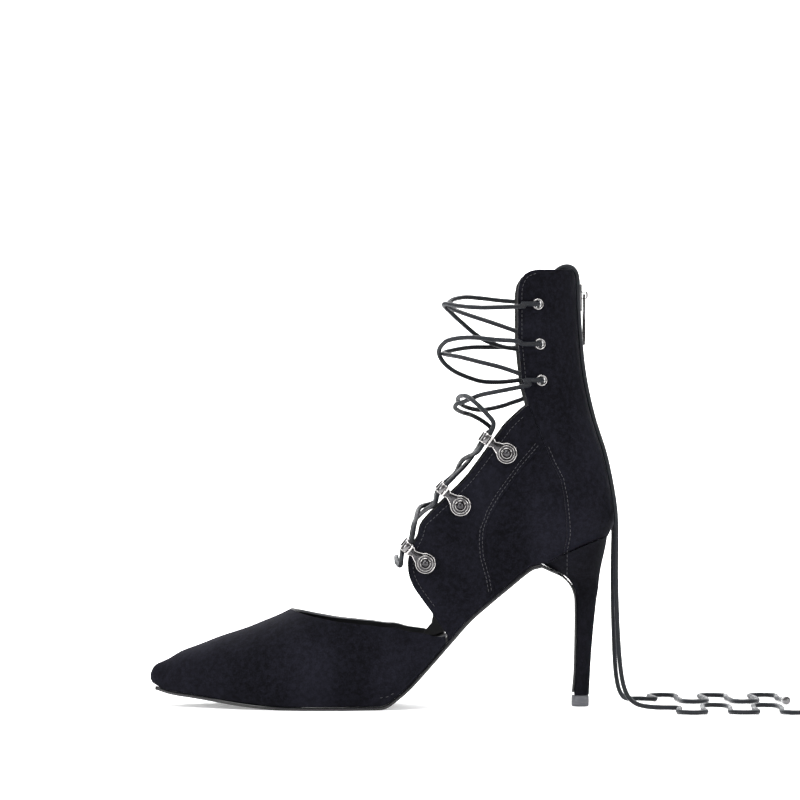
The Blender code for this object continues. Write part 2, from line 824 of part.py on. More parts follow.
def turned(points, index):
    """The direction at right angles to a path, to its left, in the XZ plane."""
    before = points[max(index - 1, 0)]
    after = points[min(index + 1, len(points) - 1)]
    direction = (after - before).normalized()
    return Vector((-direction.z, 0, direction.x))


def make_outsole(finish):
    """The outsole: a thin plate with toe spring and arch, which goes on down the heel's breast."""
    stations = floor_stations(SOLE_LINE[0][0], SOLE_LINE[-1][0])
    plate = [Vector((along(share), 0, underside(share))) for share in stations]
    path = plate + flap_path()
    rings = []
    for index, point in enumerate(path):
        normal = turned(path, index)
        if index < len(plate):
            lateral, medial = sole_half_widths(stations[index])
            if index == 0:
                lateral, medial = 0.6 * lateral, 0.86 * medial
            thickness = SOLE_THICKNESS
        else:
            level = level_of(point.z)
            lateral = medial = 0.86 * heel_row(level)[2]
            thickness = FLAP_THICKNESS
        top = point + thickness * normal
        if index < len(plate):
            top.x = point.x
            top.z = feather(stations[index])
        sides = ((-lateral, point), (medial, point), (medial, top), (-lateral, top))
        rings.append([Vector((corner.x, y, corner.z)) for y, corner in sides])
    return loft("outsole", rings, finish)


def make_insole(finish):
    """The insole: a board that fills the shoe's floor from the toe to the heel seat."""
    gap = WALL * 1.15 + 0.0006
    back = shaft_row(level_of(seat(0.98)))[0] - gap
    last = (back - TOE_X) / LENGTH - 0.004
    stations = floor_stations(0.034, SOLE_LINE[-1][0])
    reach = last - SOLE_LINE[-1][0]
    stations += [last - reach * math.cos(math.pi / 2 * part / 7) for part in range(1, 8)]
    rings = []
    for share in stations:
        x = along(share)
        low = above(share, CLEARANCE)
        top = above(share, CLEARANCE + INSOLE_THICKNESS)
        if share < TOPLINE[-1][0]:
            half = vamp_half_width(share - WALL / LENGTH) * (1 - TUCK) - gap
            shift = vamp_shift(share)
        else:
            half = max(shaft_half_width(x, low, gap), 0.002)
            shift = 0.0
        sides = ((shift - half, low), (shift + half, low), (shift + half, top), (shift - half, top))
        rings.append([Vector((x, y, z)) for y, z in sides])
    return loft("insole", rings, finish)


def heel_ring(level, z=None):
    """The heel's outline at a level."""
    back, front, half = heel_row(level)
    ring = []
    for index in range(20):
        angle = 2 * math.pi * index / 20
        x = (back + front) / 2 + math.copysign(abs(math.cos(angle)) ** 0.9, math.cos(angle)) * (back - front) / 2
        y = math.copysign(abs(math.sin(angle)) ** 0.9, math.sin(angle)) * half
        ring.append(Vector((x, y, height(level) if z is None else z)))
    return ring


def breast_outline(gap):
    """The region in front of the heel's breast, a gap behind the flap."""
    arch = Vector((along(SOLE_LINE[-1][0]), 0, feather(SOLE_LINE[-1][0]) - FLAP_THICKNESS))
    path = [arch, *flap_path()]
    line = [point + (FLAP_THICKNESS + gap) * turned(path, index) for index, point in enumerate(path)]
    front = along(SEAT_LINE[1][0])
    start, end = line[0], line[1]
    front_z = start.z + (end.z - start.z) * (front - start.x) / (end.x - start.x)
    outline = [(front, FAR), (front, front_z)] + [(point.x, point.z) for point in line[1:]]
    return outline + [(line[-1].x, -FAR), (-FAR, -FAR), (-FAR, FAR)]


def make_heel(finish):
    """The covered heel: a cup under the seat that runs down into a slim stem."""
    levels = [row[0] for row in HEEL_SECTIONS]
    bottom = TOP_PIECE_HEIGHT + CLEARANCE
    rings = [heel_ring(levels[0], bottom)] + [heel_ring(level) for level in levels[1:]]
    heel = loft("heel", rings, finish)
    combine(heel, side_prism("cutter", breast_outline(CLEARANCE)))
    top = [(along(share), seat(share)) for share in [0.80, SOLE_LINE[-1][0], *shares(0.8498, SEAT_LINE[-1][0], 8)]]
    top += [(top[-1][0], FAR), (top[0][0], FAR)]
    return combine(heel, side_prism("cutter", top))


def make_top_piece(finish):
    """The heel's top piece, flat on the floor."""
    level = HEEL_SECTIONS[0][0]
    centre = Vector(((heel_row(level)[0] + heel_row(level)[1]) / 2, 0, 0))
    rings = []
    for z, grow in ((0.0, 0.97), (0.0008, 1.0), (TOP_PIECE_HEIGHT, 1.0)):
        ring = heel_ring(level, z)
        rings.append([centre + Vector(((point.x - centre.x) * grow, point.y * grow, z)) for point in ring])
    return loft("top_piece", rings, finish)


def hook_frame(hook, side):
    """A hook's seat just clear of the wing, its neck's direction and the way that it faces."""
    share, level, rise = hook
    centre, normal = on_shaft(along(share), height(level), side)
    neck = Vector((-math.cos(rise), 0, math.sin(rise)))
    neck = (neck - neck.dot(normal) * normal).normalized()
    across = normal.cross(neck)
    lift = 0.0
    for part in range(12):
        turn = 2 * math.pi * part / 12
        rim = centre + HOOK_DISC / 2 * (math.cos(turn) * neck + math.sin(turn) * across)
        under = Vector((rim.x, side * shaft_half_width(rim.x, rim.z), rim.z))
        lift = max(lift, (under - centre).dot(normal))
    return centre + (lift + 1.5 * CLEARANCE) * normal, neck, normal


def barrel_centre(hook, side):
    """The middle of a hook's barrel, and the barrel's axis, which points up."""
    seat_point, neck, normal = hook_frame(hook, side)
    axis = normal.cross(neck).normalized()
    if axis.z < 0:
        axis.negate()
    drop = BARREL_BORE / 2 + BARREL_WALL - HOOK_THICKNESS
    return seat_point + HOOK_REACH * neck - drop * normal, axis


def make_hook(name, hook, side, finish):
    """A lace hook: a rimmed disc with a hole for its rivet, a neck and a rolled barrel for the lace."""
    radius = HOOK_DISC / 2
    hole = RIVET_SHANK / 2 + CLEARANCE
    rim_in = 0.74 * radius
    high = HOOK_THICKNESS + HOOK_RIM
    profile = ((hole, 0), (radius, 0), (radius, high), (rim_in, high), (0.66 * radius, HOOK_THICKNESS))
    disc = spin(name, (*profile, (hole, HOOK_THICKNESS)), 12, finish)
    barrel_radius = BARREL_BORE / 2 + BARREL_WALL
    end = HOOK_REACH - barrel_radius + BARREL_WALL
    neck_rows = (
        (0.86 * radius, 0.62 * radius),
        (1.20 * radius, NECK_WIDTH / 2),
        (0.72 * end, NECK_WIDTH / 2),
        (end, NECK_END_WIDTH / 2),
    )
    outline = [(u, -half) for u, half in neck_rows] + [(u, half) for u, half in reversed(neck_rows)]
    thick = 0.92 * high
    rings = [[Vector((u, t, z)) for u, t in outline] for z in (0.04 * high, thick)]
    combine(disc, loft("tool", rings), "UNION")
    half_length = BARREL_LENGTH / 2
    bore = BARREL_BORE / 2
    section = ((bore, -half_length), (barrel_radius, -half_length), (barrel_radius, half_length), (bore, half_length))
    barrel = spin("tool", section, 8)
    drop = barrel_radius - HOOK_THICKNESS
    place(barrel, Vector((HOOK_REACH, 0, -drop)), Vector((1, 0, 0)), Vector((0, 1, 0)))
    combine(disc, barrel, "UNION")
    origin, neck, normal = hook_frame(hook, side)
    return place(disc, origin, neck, normal)


def make_rivet(name, hook, side, finish):
    """The round-headed rivet that holds a hook to the wing."""
    head = RIVET_HEAD / 2
    shank = RIVET_SHANK / 2
    floor = HOOK_THICKNESS + CLEARANCE
    profile = [(shank, 0.0), (shank, floor), (head, floor), (head, floor + 0.3 * head)]
    turn = math.radians(56)
    profile.append((head * math.cos(turn), floor + 0.3 * head + 0.8 * head * math.sin(turn)))
    made = dome(name, profile, 8, finish)
    origin, neck, normal = hook_frame(hook, side)
    return place(made, origin, neck, normal)


def make_eyelet(name, share, level, side, finish):
    """An eyelet: a flanged tube through the cuff."""
    bore = EYELET_BORE / 2
    barrel = bore + BARREL_WALL
    flange = EYELET_FLANGE / 2
    top = CLEARANCE + EYELET_RIM
    bottom = -WALL - 0.0003
    profile = ((bore, top), (flange - 0.0003, top), (flange, CLEARANCE), (barrel, CLEARANCE), (barrel, bottom))
    made = spin(name, (*profile, (bore, bottom)), 8, finish)
    centre, normal = on_shaft(along(share), height(level), side)
    return place(made, centre, Vector((1, 0, 0)), normal)


def lace_point(row, side, lift=0.0):
    """A point of the lacing: x, share of the cuff's half width and level, pushed out to the front."""
    share, across, level = row
    forward = Vector((-0.75, 0, 0.66))
    return Vector((along(share), side * across * CUFF_WIDTH / 2, height(level))) + lift * forward


def through_barrel(hook, side):
    """Points that take the lace up through a hook's barrel."""
    centre, axis = barrel_centre(hook, side)
    reach = BARREL_LENGTH / 2 + 0.0008
    return [centre - reach * axis, centre + reach * axis]


def over_eyelet(eyelet, side):
    """The end of a lace that comes to an eyelet from outside."""
    centre, normal = on_shaft(along(eyelet[0]), height(eyelet[1]), side)
    out = CLEARANCE + EYELET_RIM + LACE_DIAMETER / 2 + CLEARANCE
    before, facing = on_shaft(along(eyelet[0]) - 0.009, height(eyelet[1]), side)
    return [before + (LACE_DIAMETER / 2 + 2 * CLEARANCE) * facing, centre + out * normal]


def under_eyelet(eyelet, side):
    """The start of a lace that leaves an eyelet on the inside."""
    centre, normal = on_shaft(along(eyelet[0]), height(eyelet[1]), side)
    deep = WALL + 0.0003 + CLEARANCE + LACE_DIAMETER / 2
    return [centre - deep * normal]


def join_strands(name, first, second, finish):
    """Two strands that lie on each other where they cross, as one solid."""
    radius = LACE_DIAMETER / 2
    return combine(tube(name, first, radius, finish), tube("tool", second, radius), "UNION")


def span(start, rows, end):
    """The lace between two barrels or ends, which leaves and enters them straight."""
    return smooth_route([start[1], *rows, end[0]], step=LACE_STEP, lead=start[0], trail=end[1])


def hook_strand(side, lift):
    """The lace from a lowest hook up to an eyelet, from side to side through the hooks."""
    here = through_barrel(HOOKS[0], side)
    points = [here[0]]
    for hook, route in ((HOOKS[1], CROSSING_1), (HOOKS[2], CROSSING_2)):
        rows = [lace_point(route[0], side), lace_point(route[1], side, lift), lace_point(route[2], -side)]
        side = -side
        there = through_barrel(hook, side)
        points += span(here, rows, there)
        here = there
    rows = [lace_point(row, side) for row in CROSSING_3_NEAR]
    rows.append(lace_point(CROSSING_3_TOP, side, lift))
    rows += [lace_point(row, -side) for row in CROSSING_3_FAR]
    before, end = over_eyelet(EYELETS[2], -side)
    return points + span(here, [*rows, before], (end, 2 * end - before))


def make_lower_lacing(finish):
    """The lace from the cross bar through all six hooks to the lowest eyelets."""
    lift = 0.42 * LACE_DIAMETER
    bar = [lace_point(row, 1) for row in BAR_ROUTE]
    bar += [lace_point(row, -1) for row in reversed(BAR_ROUTE[:-1])]
    centre, axis = barrel_centre(HOOKS[0], 1)
    low = centre - (BARREL_LENGTH / 2 + 0.0008) * axis
    near = through_barrel(HOOKS[0], -1)
    first = [centre, *span((centre, low), bar, near), *hook_strand(-1, lift)[1:]]
    second = hook_strand(1, -lift)
    second[0] = centre + CLEARANCE * axis
    return join_strands("lacing_hooks", first, second, finish)


def loop_strand(side, rows, start, end, lift):
    """The lace from inside one eyelet, round the front and to the outside of the other side's next one."""
    inside, top, outside = rows
    points = under_eyelet(start, side)
    points += [lace_point(row, side) for row in inside]
    points.append(lace_point(top, side, lift))
    side = -side
    points += [lace_point(row, side) for row in outside]
    return smooth_route(points + over_eyelet(end, side), step=LACE_STEP)


def make_loop(name, rows, start, end, finish):
    """A pair of strands between two rows of eyelets, joined where they cross in front."""
    lift = 0.42 * LACE_DIAMETER
    first = loop_strand(-1, rows, start, end, -lift)
    second = loop_strand(1, rows, start, end, lift)
    return join_strands(name, first, second, finish)


def back_point(level):
    """The back of the quarters at a level."""
    return Vector((shaft_row(level)[0], 0, height(level)))


def make_zip_chain(finish):
    """The closed zip in the slot of the back seam, a little proud of the suede."""
    half = ZIP_WIDTH / 2
    rings = []
    for level in shares(ZIP_BOTTOM, ZIP_TOP, 16):
        back = back_point(level)
        sides = ((-half, -WALL), (half, -WALL), (half, 0), (0.5 * half, ZIP_PROUD), (-0.5 * half, ZIP_PROUD), (-half, 0))
        rings.append([Vector((back.x + out, y, back.z)) for y, out in sides])
    return loft("zip_chain", rings, finish)


def make_zip_stop(finish):
    """The metal stop at the zip's lower end."""
    half = ZIP_WIDTH / 2
    low = back_point(ZIP_STOP)
    high = back_point(ZIP_BOTTOM) - Vector((0, 0, CLEARANCE))
    proud = ZIP_PROUD + 0.0008
    outline = [(low.x - WALL, low.z), (low.x + 0.6 * proud, low.z), (low.x + proud, (low.z + high.z) / 2)]
    outline += [(high.x + 0.6 * proud, high.z), (high.x - WALL, high.z)]
    return side_prism("zip_stop", outline, half, finish)


def slider_face():
    """The x of the slider's outer face and the z of its lower end."""
    low = height(SLIDER_LEVEL) - SLIDER_HEIGHT / 2
    back = max(back_point(level_of(low + part * SLIDER_HEIGHT)).x for part in (0, 0.5, 1))
    return back + ZIP_PROUD + CLEARANCE + SLIDER_THICKNESS, low


def pull_hinge():
    """The axis of the pull tab, inside the slider's bridge."""
    face, low = slider_face()
    gap = BRIDGE_DEPTH - BRIDGE_BAR
    return Vector((face + gap / 2, 0, low + BRIDGE_RISE + BRIDGE_HEIGHT / 2))


def make_zip_slider(finish):
    """The slider: a tapered plate with a bridge that holds the pull tab."""
    face, low = slider_face()
    back = face - SLIDER_THICKNESS
    half = SLIDER_WIDTH / 2
    rings = []
    for part, wide in ((0.0, 0.62), (0.35, 0.8), (0.75, 1.0), (1.0, 0.9)):
        z = low + part * SLIDER_HEIGHT
        sides = ((-1, back), (1, back), (1, face - 0.0004), (0.75, face), (-0.75, face), (-1, face - 0.0004))
        rings.append([Vector((x, y * half * wide, z)) for y, x in sides])
    plate = loft("zip_slider", rings, finish)
    hinge = pull_hinge()
    out = face + BRIDGE_DEPTH
    top = hinge.z + BRIDGE_HEIGHT / 2
    bottom = hinge.z - BRIDGE_HEIGHT / 2
    foot = face - 0.0002
    corner = 0.0008
    outline = [(foot, bottom), (out - corner, bottom), (out, bottom + corner), (out, top - corner)]
    outline += [(out - corner, top), (foot, top), (foot, top - BRIDGE_BAR)]
    outline += [(out - BRIDGE_BAR, top - BRIDGE_BAR), (out - BRIDGE_BAR, bottom + BRIDGE_BAR), (foot, bottom + BRIDGE_BAR)]
    return combine(plate, side_prism("tool", outline, BRIDGE_WIDTH / 2), "UNION")


def make_pull_tab(finish):
    """The pull tab: a bar through the slider's bridge, two legs beside it and a long plate."""
    half = PULL_THICKNESS / 2
    inner = BRIDGE_WIDTH / 2 + CLEARANCE
    outer = PULL_WIDTH / 2
    eye = 0.0030
    legs = [(-outer, half), (-outer, -PULL_LENGTH + 0.001), (-outer + 0.001, -PULL_LENGTH)]
    legs += [(outer - 0.001, -PULL_LENGTH), (outer, -PULL_LENGTH + 0.001), (outer, half)]
    legs += [(inner, half), (inner, -eye), (-inner, -eye), (-inner, half)]
    rings = [[Vector((x, y, z)) for y, z in legs] for x in (-half, half)]
    tab = loft("zip_pull", rings, finish)
    turn = [2 * math.pi * index / 8 for index in range(8)]
    bar_radius = 0.92 * half
    bar_half = (inner + outer) / 2
    bar = [[Vector((bar_radius * math.cos(a), y, bar_radius * math.sin(a))) for a in turn] for y in (-bar_half, bar_half)]
    combine(tab, loft("tool", bar), "UNION")
    hinge = bpy.data.objects.new("pull_hinge", None)
    bpy.context.scene.collection.objects.link(hinge)
    hinge.location = pull_hinge()
    tab.parent = hinge
    return tab


def make_tie(name, route, finish):
    """A free end of the lace, which hangs down the back of the shoe and lies on the floor."""
    curve = bpy.data.curves.new(name, "CURVE")
    curve.dimensions = "3D"
    curve.bevel_depth = LACE_DIAMETER / 2
    curve.bevel_resolution = 1
    curve.use_fill_caps = True
    spline = curve.splines.new("POLY")
    points = smooth_route(route, count=TIE_POINTS)
    spline.points.add(len(points) - 1)
    for target, point in zip(spline.points, points):
        target.co = (*point, 1.0)
    curve.materials.append(finish)
    made = bpy.data.objects.new(name, curve)
    bpy.context.scene.collection.objects.link(made)
    return made


def make_tie_tip(name, route, finish):
    """The metal tip that closes a tie's end."""
    points = smooth_route(route, count=TIE_POINTS)
    direction = (points[-1] - points[-2]).normalized()
    direction.z = 0
    start = points[-1] + CLEARANCE * direction
    start.z = TIP_DIAMETER / 2 + 0.0001
    radius = TIP_DIAMETER / 2
    profile = ((0.7 * radius, 0.0), (radius, 0.0006), (radius, TIP_LENGTH - 0.0006), (0.8 * radius, TIP_LENGTH))
    made = dome(name, profile, 12, finish)
    return place(made, start, Vector((0, 0, 1)), direction)


def make_finishes():
    """The finishes of the shoe."""
    return {
        "suede": material("black_suede", (0.012, 0.012, 0.016), 0.9),
        "sole": material("black_gloss_sole", (0.01, 0.01, 0.012), 0.25),
        "lining": material("black_lining", (0.02, 0.02, 0.022), 0.55),
        "rubber": material("dark_rubber", (0.03, 0.03, 0.033), 0.6),
        "metal": material("gunmetal", (0.35, 0.34, 0.34), 0.2, 1.0),
        "cord": material("waxed_cord", (0.012, 0.013, 0.018), 0.45),
        "zip": material("zip_teeth", (0.08, 0.08, 0.085), 0.35, 1.0),
    }


def main():
    """Clears the scene and builds every piece of the shoe."""
    for old in list(bpy.data.objects):
        bpy.data.objects.remove(old)
    finishes = make_finishes()
    make_outsole(finishes["sole"])
    make_insole(finishes["lining"])
    make_vamp(finishes["suede"])
    make_quarters(finishes["suede"])
    make_heel(finishes["suede"])
    make_top_piece(finishes["rubber"])
    for word, side in SIDES.items():
        for number, hook in enumerate(HOOKS, 1):
            make_hook(f"hook_{word}_{number}", hook, side, finishes["metal"])
            make_rivet(f"rivet_{word}_{number}", hook, side, finishes["metal"])
        for number, (share, level) in enumerate(EYELETS, 1):
            make_eyelet(f"eyelet_{word}_{number}", share, level, side, finishes["metal"])
    make_lower_lacing(finishes["cord"])
    middle = (MIDDLE_INSIDE, MIDDLE_TOP, MIDDLE_OUTSIDE)
    upper = (UPPER_INSIDE, UPPER_TOP, UPPER_OUTSIDE)
    make_loop("lacing_middle", middle, EYELETS[2], EYELETS[1], finishes["cord"])
    make_loop("lacing_upper", upper, EYELETS[1], EYELETS[0], finishes["cord"])
    make_zip_chain(finishes["zip"])
    make_zip_stop(finishes["metal"])
    make_zip_slider(finishes["metal"])
    make_pull_tab(finishes["metal"])
    for word, route in (("lateral", TIE_LATERAL_ROUTE), ("medial", TIE_MEDIAL_ROUTE)):
        make_tie(f"tie_{word}", route, finishes["cord"])
        make_tie_tip(f"tie_tip_{word}", route, finishes["metal"])


main()
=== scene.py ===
"""The looks of a lace up heel: black suede, waxed lace, gunmetal hooks and a gloss black sole.

Lengths are in metres. The toe points to -X, the heel to +X, and +Z is up. -Y is the lateral side.
"""

import json
import logging
import math
from dataclasses import dataclass, field
from enum import Enum
from typing import Any, Callable, Iterable, Sequence

import bmesh
import bpy
import numpy as np
from mathutils import Matrix, Vector
from mathutils.geometry import delaunay_2d_cdt

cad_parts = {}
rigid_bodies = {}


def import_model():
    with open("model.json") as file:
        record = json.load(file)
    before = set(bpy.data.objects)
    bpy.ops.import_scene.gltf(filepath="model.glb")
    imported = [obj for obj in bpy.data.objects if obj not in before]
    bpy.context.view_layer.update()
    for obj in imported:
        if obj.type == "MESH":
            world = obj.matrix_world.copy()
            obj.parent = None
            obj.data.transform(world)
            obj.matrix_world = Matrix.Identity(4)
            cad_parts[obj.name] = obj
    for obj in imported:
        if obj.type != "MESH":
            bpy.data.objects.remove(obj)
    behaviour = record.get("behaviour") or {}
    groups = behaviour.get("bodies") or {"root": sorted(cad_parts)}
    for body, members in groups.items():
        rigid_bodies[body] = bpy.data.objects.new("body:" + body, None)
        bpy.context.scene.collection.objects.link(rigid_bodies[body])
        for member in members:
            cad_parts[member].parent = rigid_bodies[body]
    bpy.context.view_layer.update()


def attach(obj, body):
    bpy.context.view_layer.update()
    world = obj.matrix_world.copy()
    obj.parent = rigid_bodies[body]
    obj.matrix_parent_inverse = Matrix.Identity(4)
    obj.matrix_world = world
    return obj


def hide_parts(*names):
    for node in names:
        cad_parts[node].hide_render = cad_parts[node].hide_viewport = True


LOG = logging.getLogger("lace_up_heel")
Array = np.ndarray
Thing = bpy.types.Object
Finish = bpy.types.Material
Colour = tuple[float, float, float]
SHOE = "shoe"
PULL = "pull_tab"
UP = (0.0, 0.0, 1.0)
MERGE = 1e-6

# The camera's place, and the size of one of the photograph's pixels at the shoe
CAMERA_X = 0.0085
CAMERA_Z = 0.153
CAMERA_DISTANCE = 2.1
PIXEL = 0.0005
# Soft lights: name, place, size, power, aim
LIGHTS = (
    ("top_box", (-0.25, -0.35, 1.7), 1.3, 34.0, (0.0, 0.0, 0.1)),
    ("left_box", (-1.5, -1.3, 0.9), 0.9, 24.0, (0.0, 0.0, 0.1)),
    ("right_box", (1.5, -1.0, 0.9), 0.8, 17.0, (0.0, 0.0, 0.1)),
    ("back_wash", (0.0, 2.2, 3.0), 2.4, 240.0, (0.0, 3.6, 0.5)),
)
# The row tree's inputs
ROW_INPUTS = (
    ("Paths", "Geometry"), ("Piece", "Object"), ("Pitch", "Float"), ("Size", "Float"),
    ("Tilt", "Float"), ("Seed", "Int"), ("Finish", "Material"),
)

# Underside of the sole: x as a share of the length, level
SOLE_LINE = (
    (0.0107, 0.094), (0.0429, 0.071), (0.1073, 0.051), (0.1931, 0.020), (0.2575, 0.0036), (0.2854, 0.0),
    (0.3862, 0.0), (0.4850, 0.0), (0.5080, 0.010), (0.5258, 0.041), (0.5579, 0.114), (0.6009, 0.241),
    (0.6438, 0.374), (0.6867, 0.507), (0.7296, 0.612), (0.7725, 0.710), (0.8155, 0.804), (0.8369, 0.823),
)
FLAP_LINE = (
    (0.8570, 0.797), (0.8805, 0.765), (0.8984, 0.717), (0.9074, 0.660),
    (0.9097, 0.600), (0.9097, 0.412), (0.9078, 0.200), (0.9040, 0.085),
)
SEAT_LINE = (
    (0.8369, 0.844), (0.8498, 0.85), (0.8906, 0.906), (0.9335, 0.956), (0.9785, 1.0), (1.05, 1.05),
)
# Vamp: x, half width, sideways shift, top above the sole, lift of the lower edge
VAMP_SECTIONS = (
    (0.0, 0.014, 0.1, 0.139, 0.06), (0.0043, 0.048, 0.099, 0.19, 0.03),
    (0.0129, 0.078, 0.096, 0.234, 0.008), (0.0215, 0.101, 0.093, 0.268, 0.0),
    (0.0429, 0.151, 0.086, 0.346, 0.0), (0.0644, 0.197, 0.08, 0.422, 0.0),
    (0.1073, 0.277, 0.067, 0.525, 0.0), (0.1502, 0.347, 0.053, 0.637, 0.0),
    (0.1931, 0.404, 0.04, 0.732, 0.0), (0.2361, 0.449, 0.027, 0.833, 0.0), (0.279, 0.48, 0.016, 0.941, 0.0),
    (0.3047, 0.492, 0.011, 1.0, 0.0), (0.3498, 0.5, 0.0, 1.1, 0.0), (0.4142, 0.487, -0.011, 1.228, 0.0),
    (0.5, 0.434, -0.013, 1.375, 0.0), (0.5858, 0.372, -0.007, 1.245, 0.0), (0.6545, 0.33, 0.0, 1.108, 0.0),
)
TOPLINE = (
    (0.3030, 1.0), (0.3090, 0.985), (0.3283, 0.958), (0.3541, 0.928), (0.4013, 0.885), (0.4485, 0.858),
    (0.5, 0.820), (0.5258, 0.735), (0.5558, 0.572), (0.5858, 0.392), (0.6120, 0.215), (0.6352, 0.085),
)
# Quarters: level, back x, widest x, front x, width share, cuff share
SHAFT_SECTIONS = (
    (0.353, 0.929, 0.783, 0.242, 0.80, 0.0), (0.530, 0.946, 0.792, 0.264, 0.83, 0.0),
    (0.706, 0.961, 0.796, 0.285, 0.86, 0.0), (0.882, 0.974, 0.809, 0.307, 0.885, 0.0),
    (1.0, 0.984, 0.818, 0.337, 0.92, 0.0), (1.035, 0.9925, 0.821, 0.352, 0.94, 0.0),
    (1.0755, 1.0, 0.826, 0.371, 0.96, 0.0), (1.166, 0.9915, 0.822, 0.414, 0.985, 0.0),
    (1.302, 0.9764, 0.813, 0.466, 1.0, 0.0), (1.438, 0.9506, 0.800, 0.513, 1.0, 0.1),
    (1.528, 0.9378, 0.792, 0.543, 1.0, 0.3), (1.664, 0.9249, 0.775, 0.586, 1.0, 0.8),
    (1.80, 0.9185, 0.764, 0.609, 1.0, 1.0), (2.0, 0.9142, 0.764, 0.609, 1.0, 1.0),
)
FRONT_EDGE = (
    (0.6361, 0.435), (0.6021, 0.570), (0.5833, 0.639), (0.5661, 0.708), (0.5554, 0.778), (0.5532, 0.847),
    (0.5610, 0.930), (0.5734, 1.0), (0.5880, 1.063), (0.6687, 1.205), (0.6970, 1.266), (0.7464, 1.385),
    (0.7652, 1.428), (0.8000, 1.485), (0.8077, 1.494), (0.7955, 1.573), (0.7893, 1.681), (0.7862, 1.740),
    (0.7862, 1.918), (0.7900, 1.953), (0.8010, 1.982), (0.8150, 1.995), (0.8300, 2.0),
)
MEDIAL_EDGE = (
    (0.6361, 0.426), (0.6110, 0.404), (0.6050, 0.404), (0.5880, 0.404),
    (0.5885, 0.424), (0.6040, 0.474), (0.6075, 0.520),
)
JUNCTION = 14
PANEL_FRONT = (
    (0.8421, 1.350), (0.8367, 1.342), (0.7961, 1.260), (0.7524, 1.155), (0.7313, 1.091),
    (0.7189, 1.036), (0.7167, 0.981), (0.7189, 0.894), (0.7313, 0.775), (0.7399, 0.640),
)
PANEL_BACK = (
    (0.8850, 0.700), (0.8850, 0.920), (0.8910, 0.999), (0.8897, 1.070),
    (0.8850, 1.152), (0.8773, 1.217), (0.8584, 1.282), (0.8435, 1.345),
)
# Heel: level, back x, front x, flare from the stem's width to the seat's
HEEL_SECTIONS = (
    (0.068, 0.942, 0.904, 0.0), (0.118, 0.943, 0.904, 0.0), (0.270, 0.946, 0.904, 0.01),
    (0.412, 0.950, 0.902, 0.04), (0.553, 0.955, 0.898, 0.09), (0.624, 0.958, 0.891, 0.15),
    (0.694, 0.962, 0.880, 0.24), (0.753, 0.964, 0.862, 0.40), (0.806, 0.967, 0.835, 0.62),
    (0.859, 0.971, 0.800, 0.82), (0.918, 0.976, 0.775, 0.93), (0.976, 0.980, 0.765, 0.98),
    (1.060, 0.984, 0.765, 1.0),
)
# Hooks: x, level, rise of the neck in degrees. Eyelets from the top: x, level
HOOKS = ((0.5906, 0.851, 40.0), (0.6648, 1.120, 42.0), (0.7622, 1.315, 35.0))
EYELETS = ((0.8283, 1.870), (0.8326, 1.7215), (0.8361, 1.5864))

# The lace over the hooks: x, share of half the cuff's width, level
BAR_ROUTE = ((0.5380, 0.88, 0.842), (0.5300, 0.55, 0.850), (0.5285, 0.0, 0.880))
CROSSING_1 = ((0.5680, 0.62, 1.050), (0.5830, 0.0, 1.100), (0.6100, 0.58, 1.125))
CROSSING_2 = ((0.6560, 0.60, 1.235), (0.6750, 0.0, 1.280), (0.7000, 0.62, 1.318))

# The ties' way down the back: x, distance from the middle, z
BACK_ROUTE = (
    (0.0751, 0.0258, 0.2004), (0.0764, 0.0249, 0.203), (0.0792, 0.023, 0.208), (0.0832, 0.0206, 0.214),
    (0.0872, 0.0182, 0.2182), (0.0906, 0.0166, 0.2197), (0.0938, 0.0153, 0.2193),
    (0.0961, 0.0144, 0.2168), (0.0968, 0.0138, 0.212), (0.0969, 0.0133, 0.205), (0.0973, 0.013, 0.196),
    (0.0981, 0.0128, 0.184), (0.0994, 0.0126, 0.17), (0.1018, 0.0125, 0.156), (0.1053, 0.0124, 0.142),
    (0.1099, 0.0124, 0.128), (0.1129, 0.0125, 0.115), (0.1148, 0.0128, 0.104), (0.1157, 0.0131, 0.096),
)
